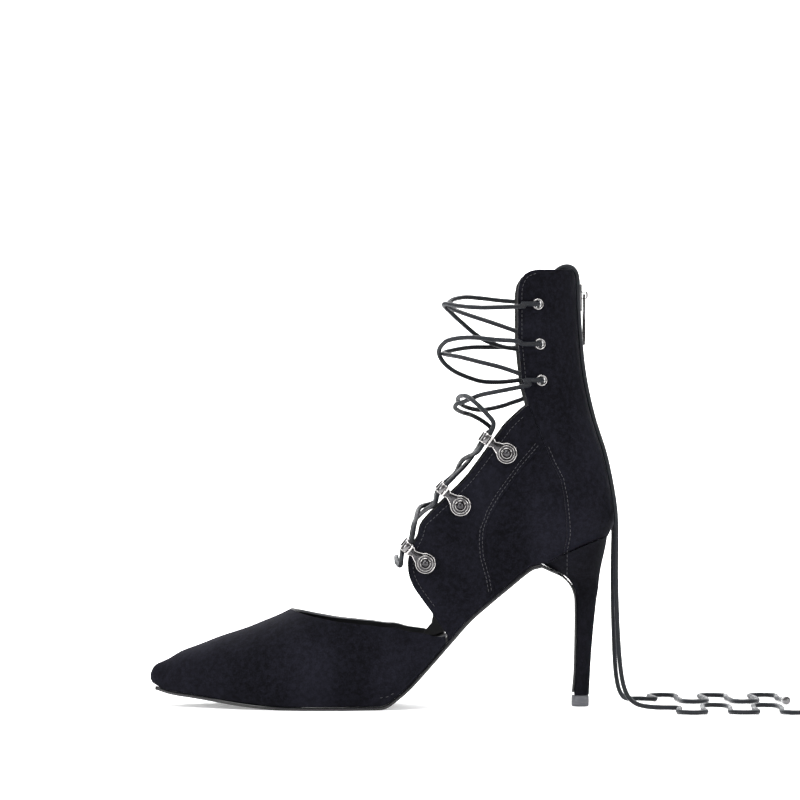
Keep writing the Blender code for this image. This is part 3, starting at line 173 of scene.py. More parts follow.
# Then along the floor: x, y, and z where it isn't the cord's height on the floor
FLOOR_Z = 0.0014
FLOOR_ROUTES = {
    -1: (
        (0.116, -0.0135, 0.086), (0.1158, -0.0142, 0.066), (0.1164, -0.0152, 0.042),
        (0.118, -0.0164, 0.019), (0.1206, -0.0178, 0.0075), (0.125, -0.0202, 0.0026),
        (0.1306, -0.0236, 0.0015), (0.1372, -0.029), (0.1461, -0.0299), (0.145, -0.0439),
        (0.1443, -0.0575), (0.1515, -0.0631), (0.1577, -0.0567), (0.1569, -0.043), (0.1579, -0.029),
        (0.1587, -0.015), (0.1641, -0.0103), (0.1704, -0.0158), (0.1713, -0.0295), (0.1703, -0.0435),
        (0.1695, -0.0575), (0.1767, -0.0619), (0.183, -0.0567), (0.1821, -0.043), (0.1831, -0.029),
        (0.1839, -0.015), (0.1893, -0.0101), (0.1955, -0.0158), (0.1965, -0.0295), (0.1956, -0.0435),
        (0.1947, -0.0575), (0.2019, -0.0634), (0.2083, -0.0567), (0.2073, -0.043, 0.0015),
        (0.2082, -0.029, 0.0018),
    ),
    1: (
        (0.1159, 0.0137, 0.086), (0.1156, 0.0148, 0.066), (0.116, 0.0162, 0.042), (0.117, 0.018, 0.019),
        (0.1188, 0.0206, 0.0075), (0.1216, 0.025, 0.0026), (0.1246, 0.0304, 0.0015), (0.1286, 0.035),
        (0.1382, 0.0298), (0.1369, 0.0429), (0.1362, 0.0555), (0.1436, 0.0611), (0.1499, 0.0547),
        (0.149, 0.0421), (0.1502, 0.029), (0.151, 0.016), (0.1564, 0.0113), (0.1628, 0.0168),
        (0.1638, 0.0294), (0.1627, 0.0425), (0.1618, 0.0555), (0.1692, 0.0599), (0.1756, 0.0547),
        (0.1746, 0.0421), (0.1757, 0.029), (0.1766, 0.016), (0.182, 0.0111), (0.1883, 0.0168),
        (0.1894, 0.0294), (0.1884, 0.0425), (0.1874, 0.0555), (0.1948, 0.0614), (0.2013, 0.0547),
        (0.2002, 0.0421), (0.2012, 0.029, 0.0015), (0.2022, 0.016, 0.0018),
    ),
}
TIE_ROUTES = {
    side: [(x, side * y, z) for x, y, z in BACK_ROUTE] + [(*row, FLOOR_Z)[:3] for row in rows]
    for side, rows in FLOOR_ROUTES.items()
}
# The lace's loops as the photograph shows them: pixel across and down, and distance from the middle in mm.
# A strand starts from its side's eyelet or hook: -1 is lateral, 1 medial
STRANDS = {
    "hooks": {
        -1: (
            (493.5, 423.0, -28.5), (486.0, 413.0, -26.0), (477.0, 404.0, -22.5), (467.5, 396.5, -14.5),
            (460.0, 396.2, -4.0), (458.0, 400.5, 5.0), (463.0, 405.5, 13.0), (472.0, 408.8, 19.0),
            (482.0, 409.8, 23.5), (496.0, 407.5, 28.5), (510.0, 403.3, 31.5), (527.0, 395.5, 32.6),
        ),
        1: (
            (491.5, 429.0, 28.0), (483.6, 421.7, 25.0), (471.8, 415.2, 18.0), (462.0, 412.2, 9.0),
            (455.5, 408.4, 0.0), (456.5, 404.2, -4.5), (463.0, 402.0, -9.5), (472.0, 398.2, -15.2),
            (482.0, 394.6, -21.5), (500.0, 391.0, -29.5), (520.0, 387.0, -32.2), (530.0, 384.0, -32.5),
        ),
    },
    "middle": {
        -1: (
            (530.0, 377.5, -27.4), (518.0, 373.0, -27.8), (500.0, 367.0, -26.0), (480.0, 362.0, -21.5),
            (460.0, 357.0, -13.0), (443.8, 353.8, 0.0), (450.0, 350.8, 8.0), (470.0, 347.5, 19.0),
            (495.0, 347.3, 28.0), (517.0, 347.5, 32.5),
        ),
        1: (
            (530.0, 379.0, 27.4), (520.0, 380.0, 27.8), (500.0, 382.0, 26.5), (480.0, 381.0, 22.5),
            (460.0, 374.0, 15.0), (449.0, 367.5, 9.0), (441.8, 360.0, 4.0), (438.8, 352.0, 0.0),
            (442.0, 345.0, -5.0), (450.0, 339.8, -11.0), (470.0, 337.5, -21.0), (500.0, 340.0, -30.0),
            (517.0, 341.0, -32.6),
        ),
    },
    "upper": {
        -1: (
            (530.0, 337.0, -27.4), (517.0, 331.5, -27.8), (490.0, 322.0, -24.0), (470.0, 315.5, -16.5),
            (456.0, 310.4, -7.5), (449.4, 306.6, 0.0), (449.6, 301.8, 5.0), (456.5, 298.5, 11.0),
            (470.0, 297.3, 18.0), (500.0, 300.5, 29.0), (525.0, 303.0, 32.6),
        ),
        1: (
            (528.0, 350.0, 27.4), (517.0, 349.0, 27.8), (500.0, 346.0, 26.0), (480.0, 337.5, 21.5),
            (460.0, 321.0, 11.0), (450.0, 311.5, 4.5), (444.0, 305.2, 0.0), (447.0, 303.8, -5.0),
            (460.0, 306.0, -14.0), (480.0, 307.5, -23.0), (505.0, 307.0, -30.5), (525.0, 306.0, -32.6),
        ),
    },
}
# Creases of the quarters: arc and height of both ends, width, depth
CREASES = (
    (0.034, 0.118, 0.006, 0.128, 0.0042, 0.00042), (0.030, 0.130, 0.008, 0.138, 0.0036, 0.00032),
    (0.026, 0.141, 0.006, 0.147, 0.0036, 0.00026), (0.033, 0.108, 0.012, 0.117, 0.0050, -0.00026),
    (0.024, 0.098, 0.010, 0.106, 0.0045, 0.00024), (0.030, 0.158, 0.012, 0.163, 0.0046, 0.00020),
    (0.080, 0.092, 0.068, 0.072, 0.0046, 0.00022), (0.072, 0.108, 0.060, 0.100, 0.0040, 0.00018),
)
# Top piece: height, size against the stem
TOP_PIECE_ROWS = (
    (0.0, 0.9), (0.00012, 0.955), (0.0005, 0.985), (0.0012, 1.0), (0.0045, 1.0), (0.005, 0.99),
    (0.0053, 0.97),
)
# Zip slider: share of its height, share of its width. Pull tab's long edge: inset, height under the hinge
SLIDER_ROWS = (
    (0.0, 0.50), (0.04, 0.60), (0.18, 0.70), (0.35, 0.80), (0.55, 0.92), (0.72, 1.0), (0.86, 1.0),
    (0.95, 0.93), (1.0, 0.80),
)
PULL_EDGE = (
    (0.0001, 0.0002), (0.0, -0.0008), (0.0, -0.006), (0.0002, -0.0095), (0.0004, -0.013), (0.0001, -0.018),
)
# A tie's metal tip: share of its radius, distance from its mouth or from its end
TIP_MOUTH = (
    (0.62, 0.0), (0.8, 0.0001), (0.95, 0.0004), (1.0, 0.0008), (1.0, 0.0013), (0.93, 0.0015),
    (0.93, 0.0018), (1.0, 0.002),
)
TIP_END = (
    (1.0, 0.0018), (0.93, 0.0016), (0.93, 0.0013), (1.0, 0.0011), (1.0, 0.0005), (0.93, 0.0001), (0.6, 0.0),
)


@dataclass
class Track:
    """A smooth curve through one column of a table, over its first column."""

    table: Sequence[Sequence[float]]
    column: int = 1
    keys: Array = field(init=False)
    values: Array = field(init=False)
    slopes: Array = field(init=False)

    def __post_init__(self) -> None:
        """Works out the slope at each row from its neighbours."""
        self.keys = np.array([row[0] for row in self.table], float)
        self.values = np.array([row[self.column] for row in self.table], float)
        count = len(self.keys)
        before = np.maximum(np.arange(count) - 1, 0)
        after = np.minimum(np.arange(count) + 1, count - 1)
        self.slopes = (self.values[after] - self.values[before]) / (self.keys[after] - self.keys[before])

    def __call__(self, at: Any) -> Array:
        """The column's value.

        Args:
            at: One or more values of the first column.

        Returns:
            The values, in the same shape.
        """
        place = np.clip(np.asarray(at, float), self.keys[0], self.keys[-1])
        right = np.clip(np.searchsorted(self.keys, place, side="right"), 1, len(self.keys) - 1)
        left = right - 1
        span = self.keys[right] - self.keys[left]
        t = (place - self.keys[left]) / span
        rise = self.values[right] - self.values[left]
        start = self.slopes[left] * span
        end = self.slopes[right] * span
        bend = t * t * (3 * rise - 2 * start - end) + t**3 * (start + end - 2 * rise)
        return self.values[left] + t * start + bend


@dataclass
class Last:
    """The sizes of the foot form and the lines that every piece is built on."""

    length: float = 0.233
    ball_width: float = 0.0752
    instep_height: float = 0.0474
    heel_height: float = 0.085
    shaft_height: float = 0.1325
    ankle_width: float = 0.060
    cuff_width: float = 0.062
    wall: float = 0.0016
    panel_step: float = 0.0006
    sole: float = 0.0018
    insole: float = 0.002
    clearance: float = 0.0003
    tuck_share: float = 0.07
    tuck_height: float = 0.008
    roundness: float = 2.2
    plan_roundness: float = 2.4
    seat_width: float = 0.052
    stem_width: float = 0.0096
    top_piece: float = 0.0055
    flap: float = 0.0012
    sole_line: Track = field(default_factory=lambda: Track(SOLE_LINE))
    seat_line: Track = field(default_factory=lambda: Track(SEAT_LINE))
    vamp: list[Track] = field(
        default_factory=lambda: [Track(VAMP_SECTIONS, column) for column in (1, 2, 3, 4)])
    topline: Track = field(default_factory=lambda: Track(TOPLINE))
    heel: list[Track] = field(default_factory=lambda: [Track(HEEL_SECTIONS, column) for column in (1, 2, 3)])

    def along(self, share: Any) -> Array:
        """The x of a share of the length."""
        return -self.length / 2 + np.asarray(share, float) * self.length

    def share(self, x: Any) -> Array:
        """The share of the length at an x."""
        return (np.asarray(x, float) + self.length / 2) / self.length

    def height(self, level: Any) -> Array:
        """The z of a level: 0 is the floor, 1 the heel seat's back and 2 the cuff's top.

        Args:
            level: 0 at the floor, 1 at the heel seat's back and 2 at the cuff's top.

        Returns:
            The z, in the same shape.
        """
        level = np.asarray(level, float)
        high = self.heel_height + (level - 1) * self.shaft_height
        return np.where(level <= 1, level * self.heel_height, high)

    def level(self, z: Any) -> Array:
        """The level of a z.

        Args:
            z: One or more heights.

        Returns:
            The levels, in the same shape.
        """
        z = np.asarray(z, float)
        high = 1 + (z - self.heel_height) / self.shaft_height
        return np.where(z <= self.heel_height, z / self.heel_height, high)

    def spot(self, share: float, level: float) -> tuple[float, float]:
        """The x and z of a share and a level."""
        return float(self.along(share)), float(self.height(level))

    def underside(self, share: Any) -> Array:
        """The z of the sole's underside."""
        return self.height(np.maximum(self.sole_line(share), 0.0))

    def seat(self, share: Any) -> Array:
        """The z of the heel's top."""
        return self.height(self.seat_line(share))

    def steepness(self, line: Callable[[Any], Array], share: Any) -> Array:
        """Length along a line for each unit of x.

        Args:
            line: A line's z for each share.
            share: Place along the length.

        Returns:
            The length for each unit.
        """
        step = 0.002
        share = np.asarray(share, float)
        return np.hypot(1, (line(share + step) - line(share - step)) / (2 * step * self.length))

    def feather(self, share: Any) -> Array:
        """The z of the surface that the upper and the insole stand on.

        Args:
            share: Place along the length.

        Returns:
            The z, in the same shape.
        """
        share = np.asarray(share, float)
        front = self.underside(share) + self.sole * self.steepness(self.underside, share)
        return np.where(share < SEAT_LINE[0][0], front, self.seat(share))

    def above(self, share: Any, distance: float) -> Array:
        """The z of a line a distance over the sole or the heel's top.

        Args:
            share: Place along the length.
            distance: Distance over it, square to it.

        Returns:
            The z, in the same shape.
        """
        share = np.asarray(share, float)
        front = distance * self.steepness(self.underside, share)
        back = distance * self.steepness(self.seat, share)
        return self.feather(share) + np.where(share < SEAT_LINE[0][0], front, back)

    def vamp_point(self, share: Array, angle: Array) -> Array:
        """The vamp's outside.

        Args:
            share: Place along the length.
            angle: Zero at the lateral edge, pi at the medial edge.

        Returns:
            Points, one row each.
        """
        blunt = np.sqrt(np.clip((share + 0.0009) / 0.0009, 0.0, 1.0))
        half = self.vamp[0](share) * self.ball_width * blunt
        shift = self.vamp[1](share) * self.ball_width
        low = self.above(np.maximum(share, 0), self.clearance) + self.vamp[3](share) * self.instep_height
        top = self.feather(np.maximum(share, 0)) + self.vamp[2](share) * self.instep_height
        tall = top - low
        side = -np.sign(np.cos(angle)) * np.abs(np.cos(angle)) ** (2 / self.roundness)
        rise = tall * np.abs(np.sin(angle)) ** (2 / self.roundness)
        reach = np.minimum(self.tuck_height, 0.35 * tall)
        tucked = 1 - self.tuck_share * np.maximum(0.0, 1 - rise / reach) ** 2
        return np.stack([self.along(share), shift + half * side * tucked, low + rise], axis=-1)

    def topline_angle(self, share: Array) -> Array:
        """The angle at which the vamp's edge lies, a quarter turn in front of the throat.

        Args:
            share: Place along the length.

        Returns:
            Angles, in the same shape.
        """
        low = self.above(share, self.clearance) + self.vamp[3](share) * self.instep_height
        top = self.feather(share) + self.vamp[2](share) * self.instep_height
        edge = self.feather(share) + self.topline(share) * self.instep_height
        part = np.clip((edge - low) / (top - low), 0.0, 1.0) ** (self.roundness / 2)
        return np.where(share <= TOPLINE[0][0], math.pi / 2, np.arcsin(part))

    def heel_row(self, level: Any) -> tuple[Array, Array, Array]:
        """Back and front x of the heel at a level, and half its width."""
        half = (self.stem_width + self.heel[2](level) * (self.seat_width - self.stem_width)) / 2
        return self.along(self.heel[0](level)), self.along(self.heel[1](level)), half


@dataclass
class Shaft:
    """The curved wall of the quarters and the cuff, unrolled from its back line.

    A place on it is an arc length from the back, negative on the lateral side, and a height.
    """

    last: Last
    rows: int = 300
    columns: int = 260
    heights: Array = field(init=False)
    lengths: Array = field(init=False)
    grid: Array = field(init=False)
    normals: Array = field(init=False)

    def __post_init__(self) -> None:
        """Samples the wall on an even grid of arc length and height."""
        tracks = [Track(SHAFT_SECTIONS, column) for column in range(1, 6)]
        low, high = (float(self.last.height(SHAFT_SECTIONS[index][0])) for index in (0, -1))
        self.heights = np.linspace(low, high, self.rows)
        level = self.last.level(self.heights)
        back, middle, front = (self.last.along(track(level))[:, None] for track in tracks[:3])
        width = self.last.ankle_width + tracks[4](level) * (self.last.cuff_width - self.last.ankle_width)
        half = (width / 2 * tracks[3](level))[:, None]
        angle = (math.pi * np.linspace(0, 1, 901))[None, :]
        power = 2 / self.last.plan_roundness
        reach = np.where(np.cos(angle) > 0, back - middle, middle - front)
        x = middle + rounded(np.cos(angle), power) * reach
        y = np.abs(np.sin(angle)) ** power * half
        steps = np.hypot(np.diff(x, axis=1), np.diff(y, axis=1))
        arc = np.concatenate([np.zeros((self.rows, 1)), np.cumsum(steps, axis=1)], axis=1)
        self.lengths = arc[:, -1]
        even = np.linspace(0, 1, self.columns)
        self.grid = np.zeros((self.rows, self.columns, 3))
        for row in range(self.rows):
            place = even * self.lengths[row]
            self.grid[row, :, 0] = np.interp(place, arc[row], x[row])
            self.grid[row, :, 1] = np.interp(place, arc[row], y[row])
        self.grid[:, :, 2] = self.heights[:, None]
        across = np.gradient(self.grid, axis=1)
        across[:, 0] = (0, 1, 0)
        up = np.gradient(self.grid, axis=0)
        self.normals = np.cross(across, up)
        self.normals /= np.linalg.norm(self.normals, axis=2, keepdims=True)

    def back(self, z: Any) -> Array:
        """The x of the wall's back line at a height."""
        return np.interp(z, self.heights, self.grid[:, 0, 0])

    def _bilinear(self, field_grid: Array, arc: Array, z: Array) -> Array:
        """A grid's values at places of the unrolled wall, for the medial side.

        Args:
            field_grid: The grid.
            arc: Arc lengths.
            z: Heights.

        Returns:
            One row for each place.
        """
        r = np.clip((z - self.heights[0]) / (self.heights[1] - self.heights[0]), 0, self.rows - 1.001)
        row = r.astype(int)
        u = np.clip(np.abs(arc) / np.interp(z, self.heights, self.lengths), 0, 1) * (self.columns - 1.001)
        column = u.astype(int)
        fr = (r - row)[:, None]
        fu = (u - column)[:, None]
        top = field_grid[row, column] * (1 - fu) + field_grid[row, column + 1] * fu
        bottom = field_grid[row + 1, column] * (1 - fu) + field_grid[row + 1, column + 1] * fu
        return top * (1 - fr) + bottom * fr

    def surface(self, places: Array, offset: Any = 0.0) -> Array:
        """Points of the wall.

        Args:
            places: Arc length and height, one row each.
            offset: Distance out of the wall's outside.

        Returns:
            Points in space.
        """
        arc, z = places[:, 0], places[:, 1]
        side = np.where(arc < 0, -1.0, 1.0)
        point = self._bilinear(self.grid, arc, z)
        normal = self._bilinear(self.normals, arc, z)
        normal /= np.linalg.norm(normal, axis=1, keepdims=True)
        point = point + normal * np.broadcast_to(np.asarray(offset, float), arc.shape)[:, None]
        point[:, 1] *= side
        point[:, 2] += np.clip(z - self.heights[-1], 0, 1)
        return point

    def frame(self, x: float, z: float, side: int) -> tuple[Vector, Vector]:
        """A point of the wall's outside by x and z, and the way that it faces.

        Args:
            x: Place along the shoe.
            z: Height.
            side: -1 for the lateral side, 1 for the medial side.

        Returns:
            The point and the direction.
        """
        place = np.array([[self.arc(x, z, side), z]])
        normal = self._bilinear(self.normals, place[:, 0], place[:, 1])[0]
        normal[1] *= side
        return Vector(self.surface(place)[0]), Vector(normal).normalized()

    def arc(self, x: float, z: float, side: int) -> float:
        """The arc length at an x and z of one side.

        Args:
            x: Place along the shoe.
            z: Height.
            side: -1 for the lateral side, 1 for the medial side.

        Returns:
            The arc length, with the side's sign.
        """
        r = float(np.clip((z - self.heights[0]) / (self.heights[1] - self.heights[0]), 0, self.rows - 1.001))
        row = int(r)
        line = self.grid[row, :, 0] * (1 - r + row) + self.grid[row + 1, :, 0] * (r - row)
        part = np.interp(-x, -line, np.linspace(0, 1, self.columns))
        return side * float(part * np.interp(z, self.heights, self.lengths))

    def half_width(self, x: float, z: float) -> float:
        """Half the width of the wall's outside at a place."""
        return abs(self.frame(x, z, 1)[0].y)

    def trace(self, rows: Iterable[tuple[float, float]], side: int, step: float = 0.0006) -> Array:
        """A line of shares and levels on one side, as closely spaced places of the unrolled wall."""
        fine = densify(np.array([self.last.spot(*row) for row in rows]), step)
        return np.array([(self.arc(x, z, side), z) for x, z in fine])


def rounded(wave: Any, power: float) -> Any:
    """A sine or cosine raised to a power, with its sign kept."""
    return np.sign(wave) * np.abs(wave) ** power


def circle(radius: float, count: int, height: float = 0.0) -> Array:
    """Points of a ring about Z."""
    turn = np.linspace(0, 2 * math.pi, count, endpoint=False)
    return np.stack([radius * np.cos(turn), radius * np.sin(turn), np.full(count, height)], axis=1)


def flat(way: Vector, normal: Vector) -> Vector:
    """A direction laid across a normal."""
    return (way - way.dot(normal) * normal).normalized()


def shifted(line: Array, gap: float) -> Array:
    """A flat line moved to its left.

    Args:
        line: Its points, two numbers each.
        gap: How far it moves.

    Returns:
        The moved points.
    """
    ahead = np.gradient(line, axis=0)
    ahead /= np.maximum(np.linalg.norm(ahead, axis=1, keepdims=True), 1e-9)
    return line + gap * np.stack([-ahead[:, 1], ahead[:, 0]], axis=1)


def densify(line: Array, step: float) -> Array:
    """A polyline with points no farther apart than a step.

    Args:
        line: The polyline.
        step: The step.

    Returns:
        Its points and those between them.
    """
    found = [line[0]]
    for start, end in zip(line[:-1], line[1:]):
        count = max(1, math.ceil(float(np.linalg.norm(end - start)) / step))
        for part in range(1, count + 1):
            found.append(start + (end - start) * part / count)
    return np.array(found)


def smooth(line: Sequence[Sequence[float]], step: float) -> Array:
    """Evenly spaced points on a smooth curve through a line's own points.

    Args:
        line: The line's points.
        step: Distance between the new points.

    Returns:
        The new points.
    """
    points = np.array([list(point) for point in line], float)
    points = np.vstack([2 * points[0] - points[1], points, 2 * points[-1] - points[-2]])
    fine = []
    for index in range(1, len(points) - 2):
        before, start, end, after = points[index - 1 : index + 3]
        for t in np.linspace(0, 1, 20, endpoint=False):
            bend = (2 * before - 5 * start + 4 * end - after) * t * t
            bend = bend + (3 * start - before - 3 * end + after) * t**3
            fine.append(0.5 * (2 * start + (end - before) * t + bend))
    fine.append(points[-2])
    fine = np.array(fine)
    run = np.concatenate([[0], np.cumsum(np.linalg.norm(np.diff(fine, axis=0), axis=1))])
    count = max(2, round(run[-1] / step) + 1)
    even = np.linspace(0, run[-1], count)
    return np.stack([np.interp(even, run, fine[:, axis]) for axis in range(points.shape[1])], axis=1)


def inside(points: Array, loop: Array) -> Array:
    """Which points lie inside a closed loop.

    Args:
        points: Points of a plane.
        loop: The loop's points.

    Returns:
        True for each point inside.
    """
    found = np.zeros(len(points), bool)
    ends = np.roll(loop, -1, axis=0)
    for (x1, y1), (x2, y2) in zip(loop, ends):
        crosses = (y1 > points[:, 1]) != (y2 > points[:, 1])
        if y1 != y2:
            found ^= crosses & (points[:, 0] < x1 + (points[:, 1] - y1) * (x2 - x1) / (y2 - y1))
    return found


def distance_to(points: Array, loops: Sequence[Array]) -> Array:
    """Each point's distance to the nearest point of some closely spaced loops.

    Args:
        points: Points of a plane.
        loops: The loops.

    Returns:
        One distance for each point.
    """
    found = np.ones(len(points))
    edge = np.vstack([densify(np.vstack([loop, loop[:1]]), 0.0003) for loop in loops])
    for start in range(0, len(points), 2000):
        block = points[start : start + 2000]
        gaps = np.linalg.norm(block[:, None, :] - edge[None, :, :], axis=2)
        found[start : start + 2000] = gaps.min(axis=1)
    return found


def filled(points: Array, loops: Sequence[Array]) -> Array:
    """Which points lie inside an outline and outside its holes."""
    holes = sum((inside(points, hole) for hole in loops[1:]), np.zeros(len(points), bool))
    return inside(points, loops[0]) & ~holes


def triangulate(loops: Sequence[Array], spacing: float) -> tuple[Array, Array]:
    """Fills an outline, less its holes, with even triangles.

    Args:
        loops: The outline and then its holes, closely spaced.
        spacing: Distance between the points inside.

    Returns:
        Points and triangles.
    """
    low, high = loops[0].min(axis=0), loops[0].max(axis=0)
    nodes = []
    for row, y in enumerate(np.arange(low[1], high[1], spacing * 0.87)):
        x = np.arange(low[0] + (spacing / 2 if row % 2 else 0.0), high[0], spacing)
        nodes.append(np.stack([x, np.full(len(x), y)], axis=1))
    skirts = []
    edges = []
    start = 0
    for loop in loops:
        along = np.roll(loop, -1, axis=0) - np.roll(loop, 1, axis=0)
        normal = np.stack([-along[:, 1], along[:, 0]], axis=1)
        normal /= np.maximum(np.linalg.norm(normal, axis=1, keepdims=True), 1e-9)
        skirts += [loop + way * gap * normal for way in (-1, 1) for gap in (0.00018, 0.00048)]
        count = len(loop)
        edges += [(start + index, start + (index + 1) % count) for index in range(count)]
        start += count
    layers = list(loops)
    for layer, clear in ((np.vstack(skirts), 0.00012), (np.vstack(nodes), 0.0008)):
        layer = layer[filled(layer, loops)]
        layers.append(layer[distance_to(layer, loops) > clear])
    points = [Vector(point * 1000) for point in np.vstack(layers)]
    verts, _, faces, *_ = delaunay_2d_cdt(points, edges, [], 0, 1e-4)
    found = np.array([tuple(vert) for vert in verts]) / 1000
    faces = np.array([tuple(face) for face in faces if len(face) == 3])
    return found, faces[filled(found[faces].mean(axis=1), loops)]


def linked(name: str, data: Any, finishes: Sequence[Finish] = (), sharp: float | None = None) -> Thing:
    """An object at the origin.

    Args:
        name: Its name.
        data: Its mesh, or a camera's or light's settings.
        finishes: Materials of the mesh.
        sharp: Angle in degrees over which an edge is sharp, or None where that is left alone.

    Returns:
        The new object.
    """
    for finish in finishes:
        data.materials.append(finish)
    if sharp is not None:
        data.set_sharp_from_angle(angle=math.radians(sharp))
    made = bpy.data.objects.new(name, data)
    bpy.context.scene.collection.objects.link(made)
    return made


def make_mesh(name: str, verts: Iterable[Any], faces: Iterable[Any], finishes: Sequence[Any],
              slots: Any = None,
              sharp: float = 42.0) -> Thing:
    """An object at the origin from points and faces.

    Args:
        name: The piece's name.
        verts: Points in space.
        faces: Corner numbers of each face.
        finishes: Materials of the piece.
        slots: Material number of each face, or None where there is one.
        sharp: Angle in degrees over which an edge is sharp.

    Returns:
        The new object.
    """
    mesh = bpy.data.meshes.new(name)
    mesh.from_pydata([tuple(vert) for vert in verts], [], [tuple(int(v) for v in face) for face in faces])
    if slots is not None:
        mesh.polygons.foreach_set("material_index", np.asarray(slots, np.int32))
    mesh.shade_smooth()
    return linked(name, mesh, finishes, sharp)


def slab(name: str, outer: Array, inner: Array, faces: Sequence[Any], finishes: Sequence[Any],
         sharp: float = 42.0) -> Thing:
    """A closed wall between two surfaces of the same layout.

    Args:
        name: The piece's name.
        outer: Points of the outside.
        inner: Points of the inside.
        faces: Faces of either surface.
        finishes: Materials of the outside, the inside and the edge.
        sharp: Angle in degrees over which an edge is sharp.

    Returns:
        The new object.
    """
    faces = [tuple(int(v) for v in face) for face in faces]
    facing = 0.0
    for face in faces[:: max(1, len(faces) // 200)]:
        a, b, c = (outer[index] for index in face[:3])
        facing += float(np.dot(np.cross(b - a, c - a), a - inner[face[0]]))
    if facing < 0:
        faces = [tuple(reversed(face)) for face in faces]
    count = len(outer)
    used: dict[tuple[int, int], int] = {}
    for face in faces:
        for a, b in zip(face, face[1:] + face[:1]):
            used[(a, b)] = used.get((a, b), 0) + 1
    rim = [(b, a, a + count, b + count) for a, b in used if (b, a) not in used]
    lining = [tuple(v + count for v in reversed(face)) for face in faces]
    slots = [0] * len(faces) + [1] * len(lining) + [2] * len(rim)
    return make_mesh(name, np.vstack([outer, inner]), faces + lining + rim, finishes, slots, sharp)


def loft(name: str, rings: Sequence[Any], finishes: Sequence[Any], capped: bool = True, closed: bool = False,
         sharp: float = 42.0) -> Thing:
    """A solid through rings of equal counts.

    Args:
        name: The piece's name.
        rings: Rings of points.
        finishes: Materials of the piece.
        capped: Whether the ends are closed.
        closed: Whether the last ring joins the first.
        sharp: Angle in degrees over which an edge is sharp.

    Returns:
        The new object, with its faces pointing out.
    """
    shape = bmesh.new()
    rows = [[shape.verts.new(tuple(point)) for point in ring] for ring in rings]
    pairs = list(zip(rows, rows[1:])) + ([(rows[-1], rows[0])] if closed else [])
    for row, following in pairs:
        for index in range(len(row)):
            after = (index + 1) % len(row)
            shape.faces.new((row[index], row[after], following[after], following[index]))
    if capped and not closed:
        shape.faces.new(list(reversed(rows[0])))
        shape.faces.new(rows[-1])
    return from_bmesh(name, shape, finishes, sharp)


def from_bmesh(name: str, shape: bmesh.types.BMesh, finishes: Sequence[Any], sharp: float = 42.0) -> Thing:
    """An object from a bmesh, with doubles merged and its faces pointing out.

    Args:
        name: The piece's name.
        shape: The shape, which is used up.
        finishes: Materials of the piece.
        sharp: Angle in degrees over which an edge is sharp.

    Returns:
        The new object.
    """
    bmesh.ops.remove_doubles(shape, verts=shape.verts, dist=MERGE)
    bmesh.ops.recalc_face_normals(shape, faces=shape.faces)
    mesh = bpy.data.meshes.new(name)
    shape.to_mesh(mesh)
    shape.free()
    mesh.shade_smooth()
    return linked(name, mesh, finishes, sharp)


def lathe(name: str, profile: Sequence[tuple[float, float]], segments: int, finishes: Sequence[Any],
          closed: bool = False) -> Thing:
    """A turned piece about Z from radius and height, closed on itself where the profile is a ring's section.

    Args:
        name: The piece's name.
        profile: Radius and height of each point.
        segments: Points round the axis.
        finishes: Materials of the piece.
        closed: Whether the profile is a ring's section.

    Returns:
        The new object.
    """
    if closed:
        turns = (2 * math.pi * index / segments for index in range(segments))
        rings = [[(r * math.cos(a), r * math.sin(a), z) for r, z in profile] for a in turns]
        return loft(name, rings, finishes, closed=True)
    return loft(name, [circle(r, segments, z) for r, z in profile], finishes)


def tube(name: str, path: Array, radius: Any, finishes: Sequence[Any], sides: int = 12, closed: bool = False,
         lead: Any = None) -> Thing:
    """A round bar along points, with a UV map in turns and in diameters of length.

    Args:
        name: The piece's name.
        path: Closely spaced points.
        radius: One radius, or one for each point.
        finishes: Materials of the piece.
        sides: Points round the bar.
        closed: Whether the path is a ring.
        lead: A direction that fixes where the turn starts, or None.

    Returns:
        The new object.
    """
    points = np.asarray(path, float)
    count = len(points)
    radii = np.broadcast_to(np.asarray(radius, float), (count,))
    if closed:
        ahead = np.roll(points, -1, axis=0) - np.roll(points, 1, axis=0)
    else:
        ahead = np.gradient(points, axis=0)
    ahead /= np.linalg.norm(ahead, axis=1, keepdims=True)
    across = Vector(lead) if lead is not None else Vector(ahead[0]).orthogonal()
    turns = [2 * math.pi * side / sides for side in range(sides)]
    verts = []
    for point, heading, thick in zip(points, ahead, radii):
        across = flat(across, Vector(heading))
        up = Vector(heading).cross(across)
        verts += [Vector(point) + float(thick) * (across * math.cos(a) + up * math.sin(a)) for a in turns]
    run = np.concatenate([[0], np.cumsum(np.linalg.norm(np.diff(points, axis=0), axis=1))])
    faces = []
    uvs = []
    for index in range(count if closed else count - 1):
        following = (index + 1) % count
        here, there = index * sides, following * sides
        v0 = run[index] / (2 * radii[index])
        v1 = v0 + np.linalg.norm(points[following] - points[index]) / (2 * radii[index])
        for side in range(sides):
            after = (side + 1) % sides
            faces.append((here + side, here + after, there + after, there + side))
            u0, u1 = side / sides, (side + 1) / sides
            uvs += [(u0, v0), (u1, v0), (u1, v1), (u0, v1)]
    if not closed:
        faces += [tuple(reversed(range(sides))), tuple(range((count - 1) * sides, count * sides))]
        uvs += [(0.5, 0.0)] * sides + [(0.5, run[-1])] * sides
    made = make_mesh(name, verts, faces, finishes, sharp=60)
    layer = made.data.uv_layers.new(name="UVMap")
    layer.data.foreach_set("uv", np.array(uvs, np.float32).ravel())
    return made


def wire(ring: Array, radius: float, finish: Finish, sides: int = 8, lead: Any = UP) -> Thing:
    """A bent ring of round wire."""
    return tube("wire", ring, radius, (finish,), sides, closed=True, lead=lead)


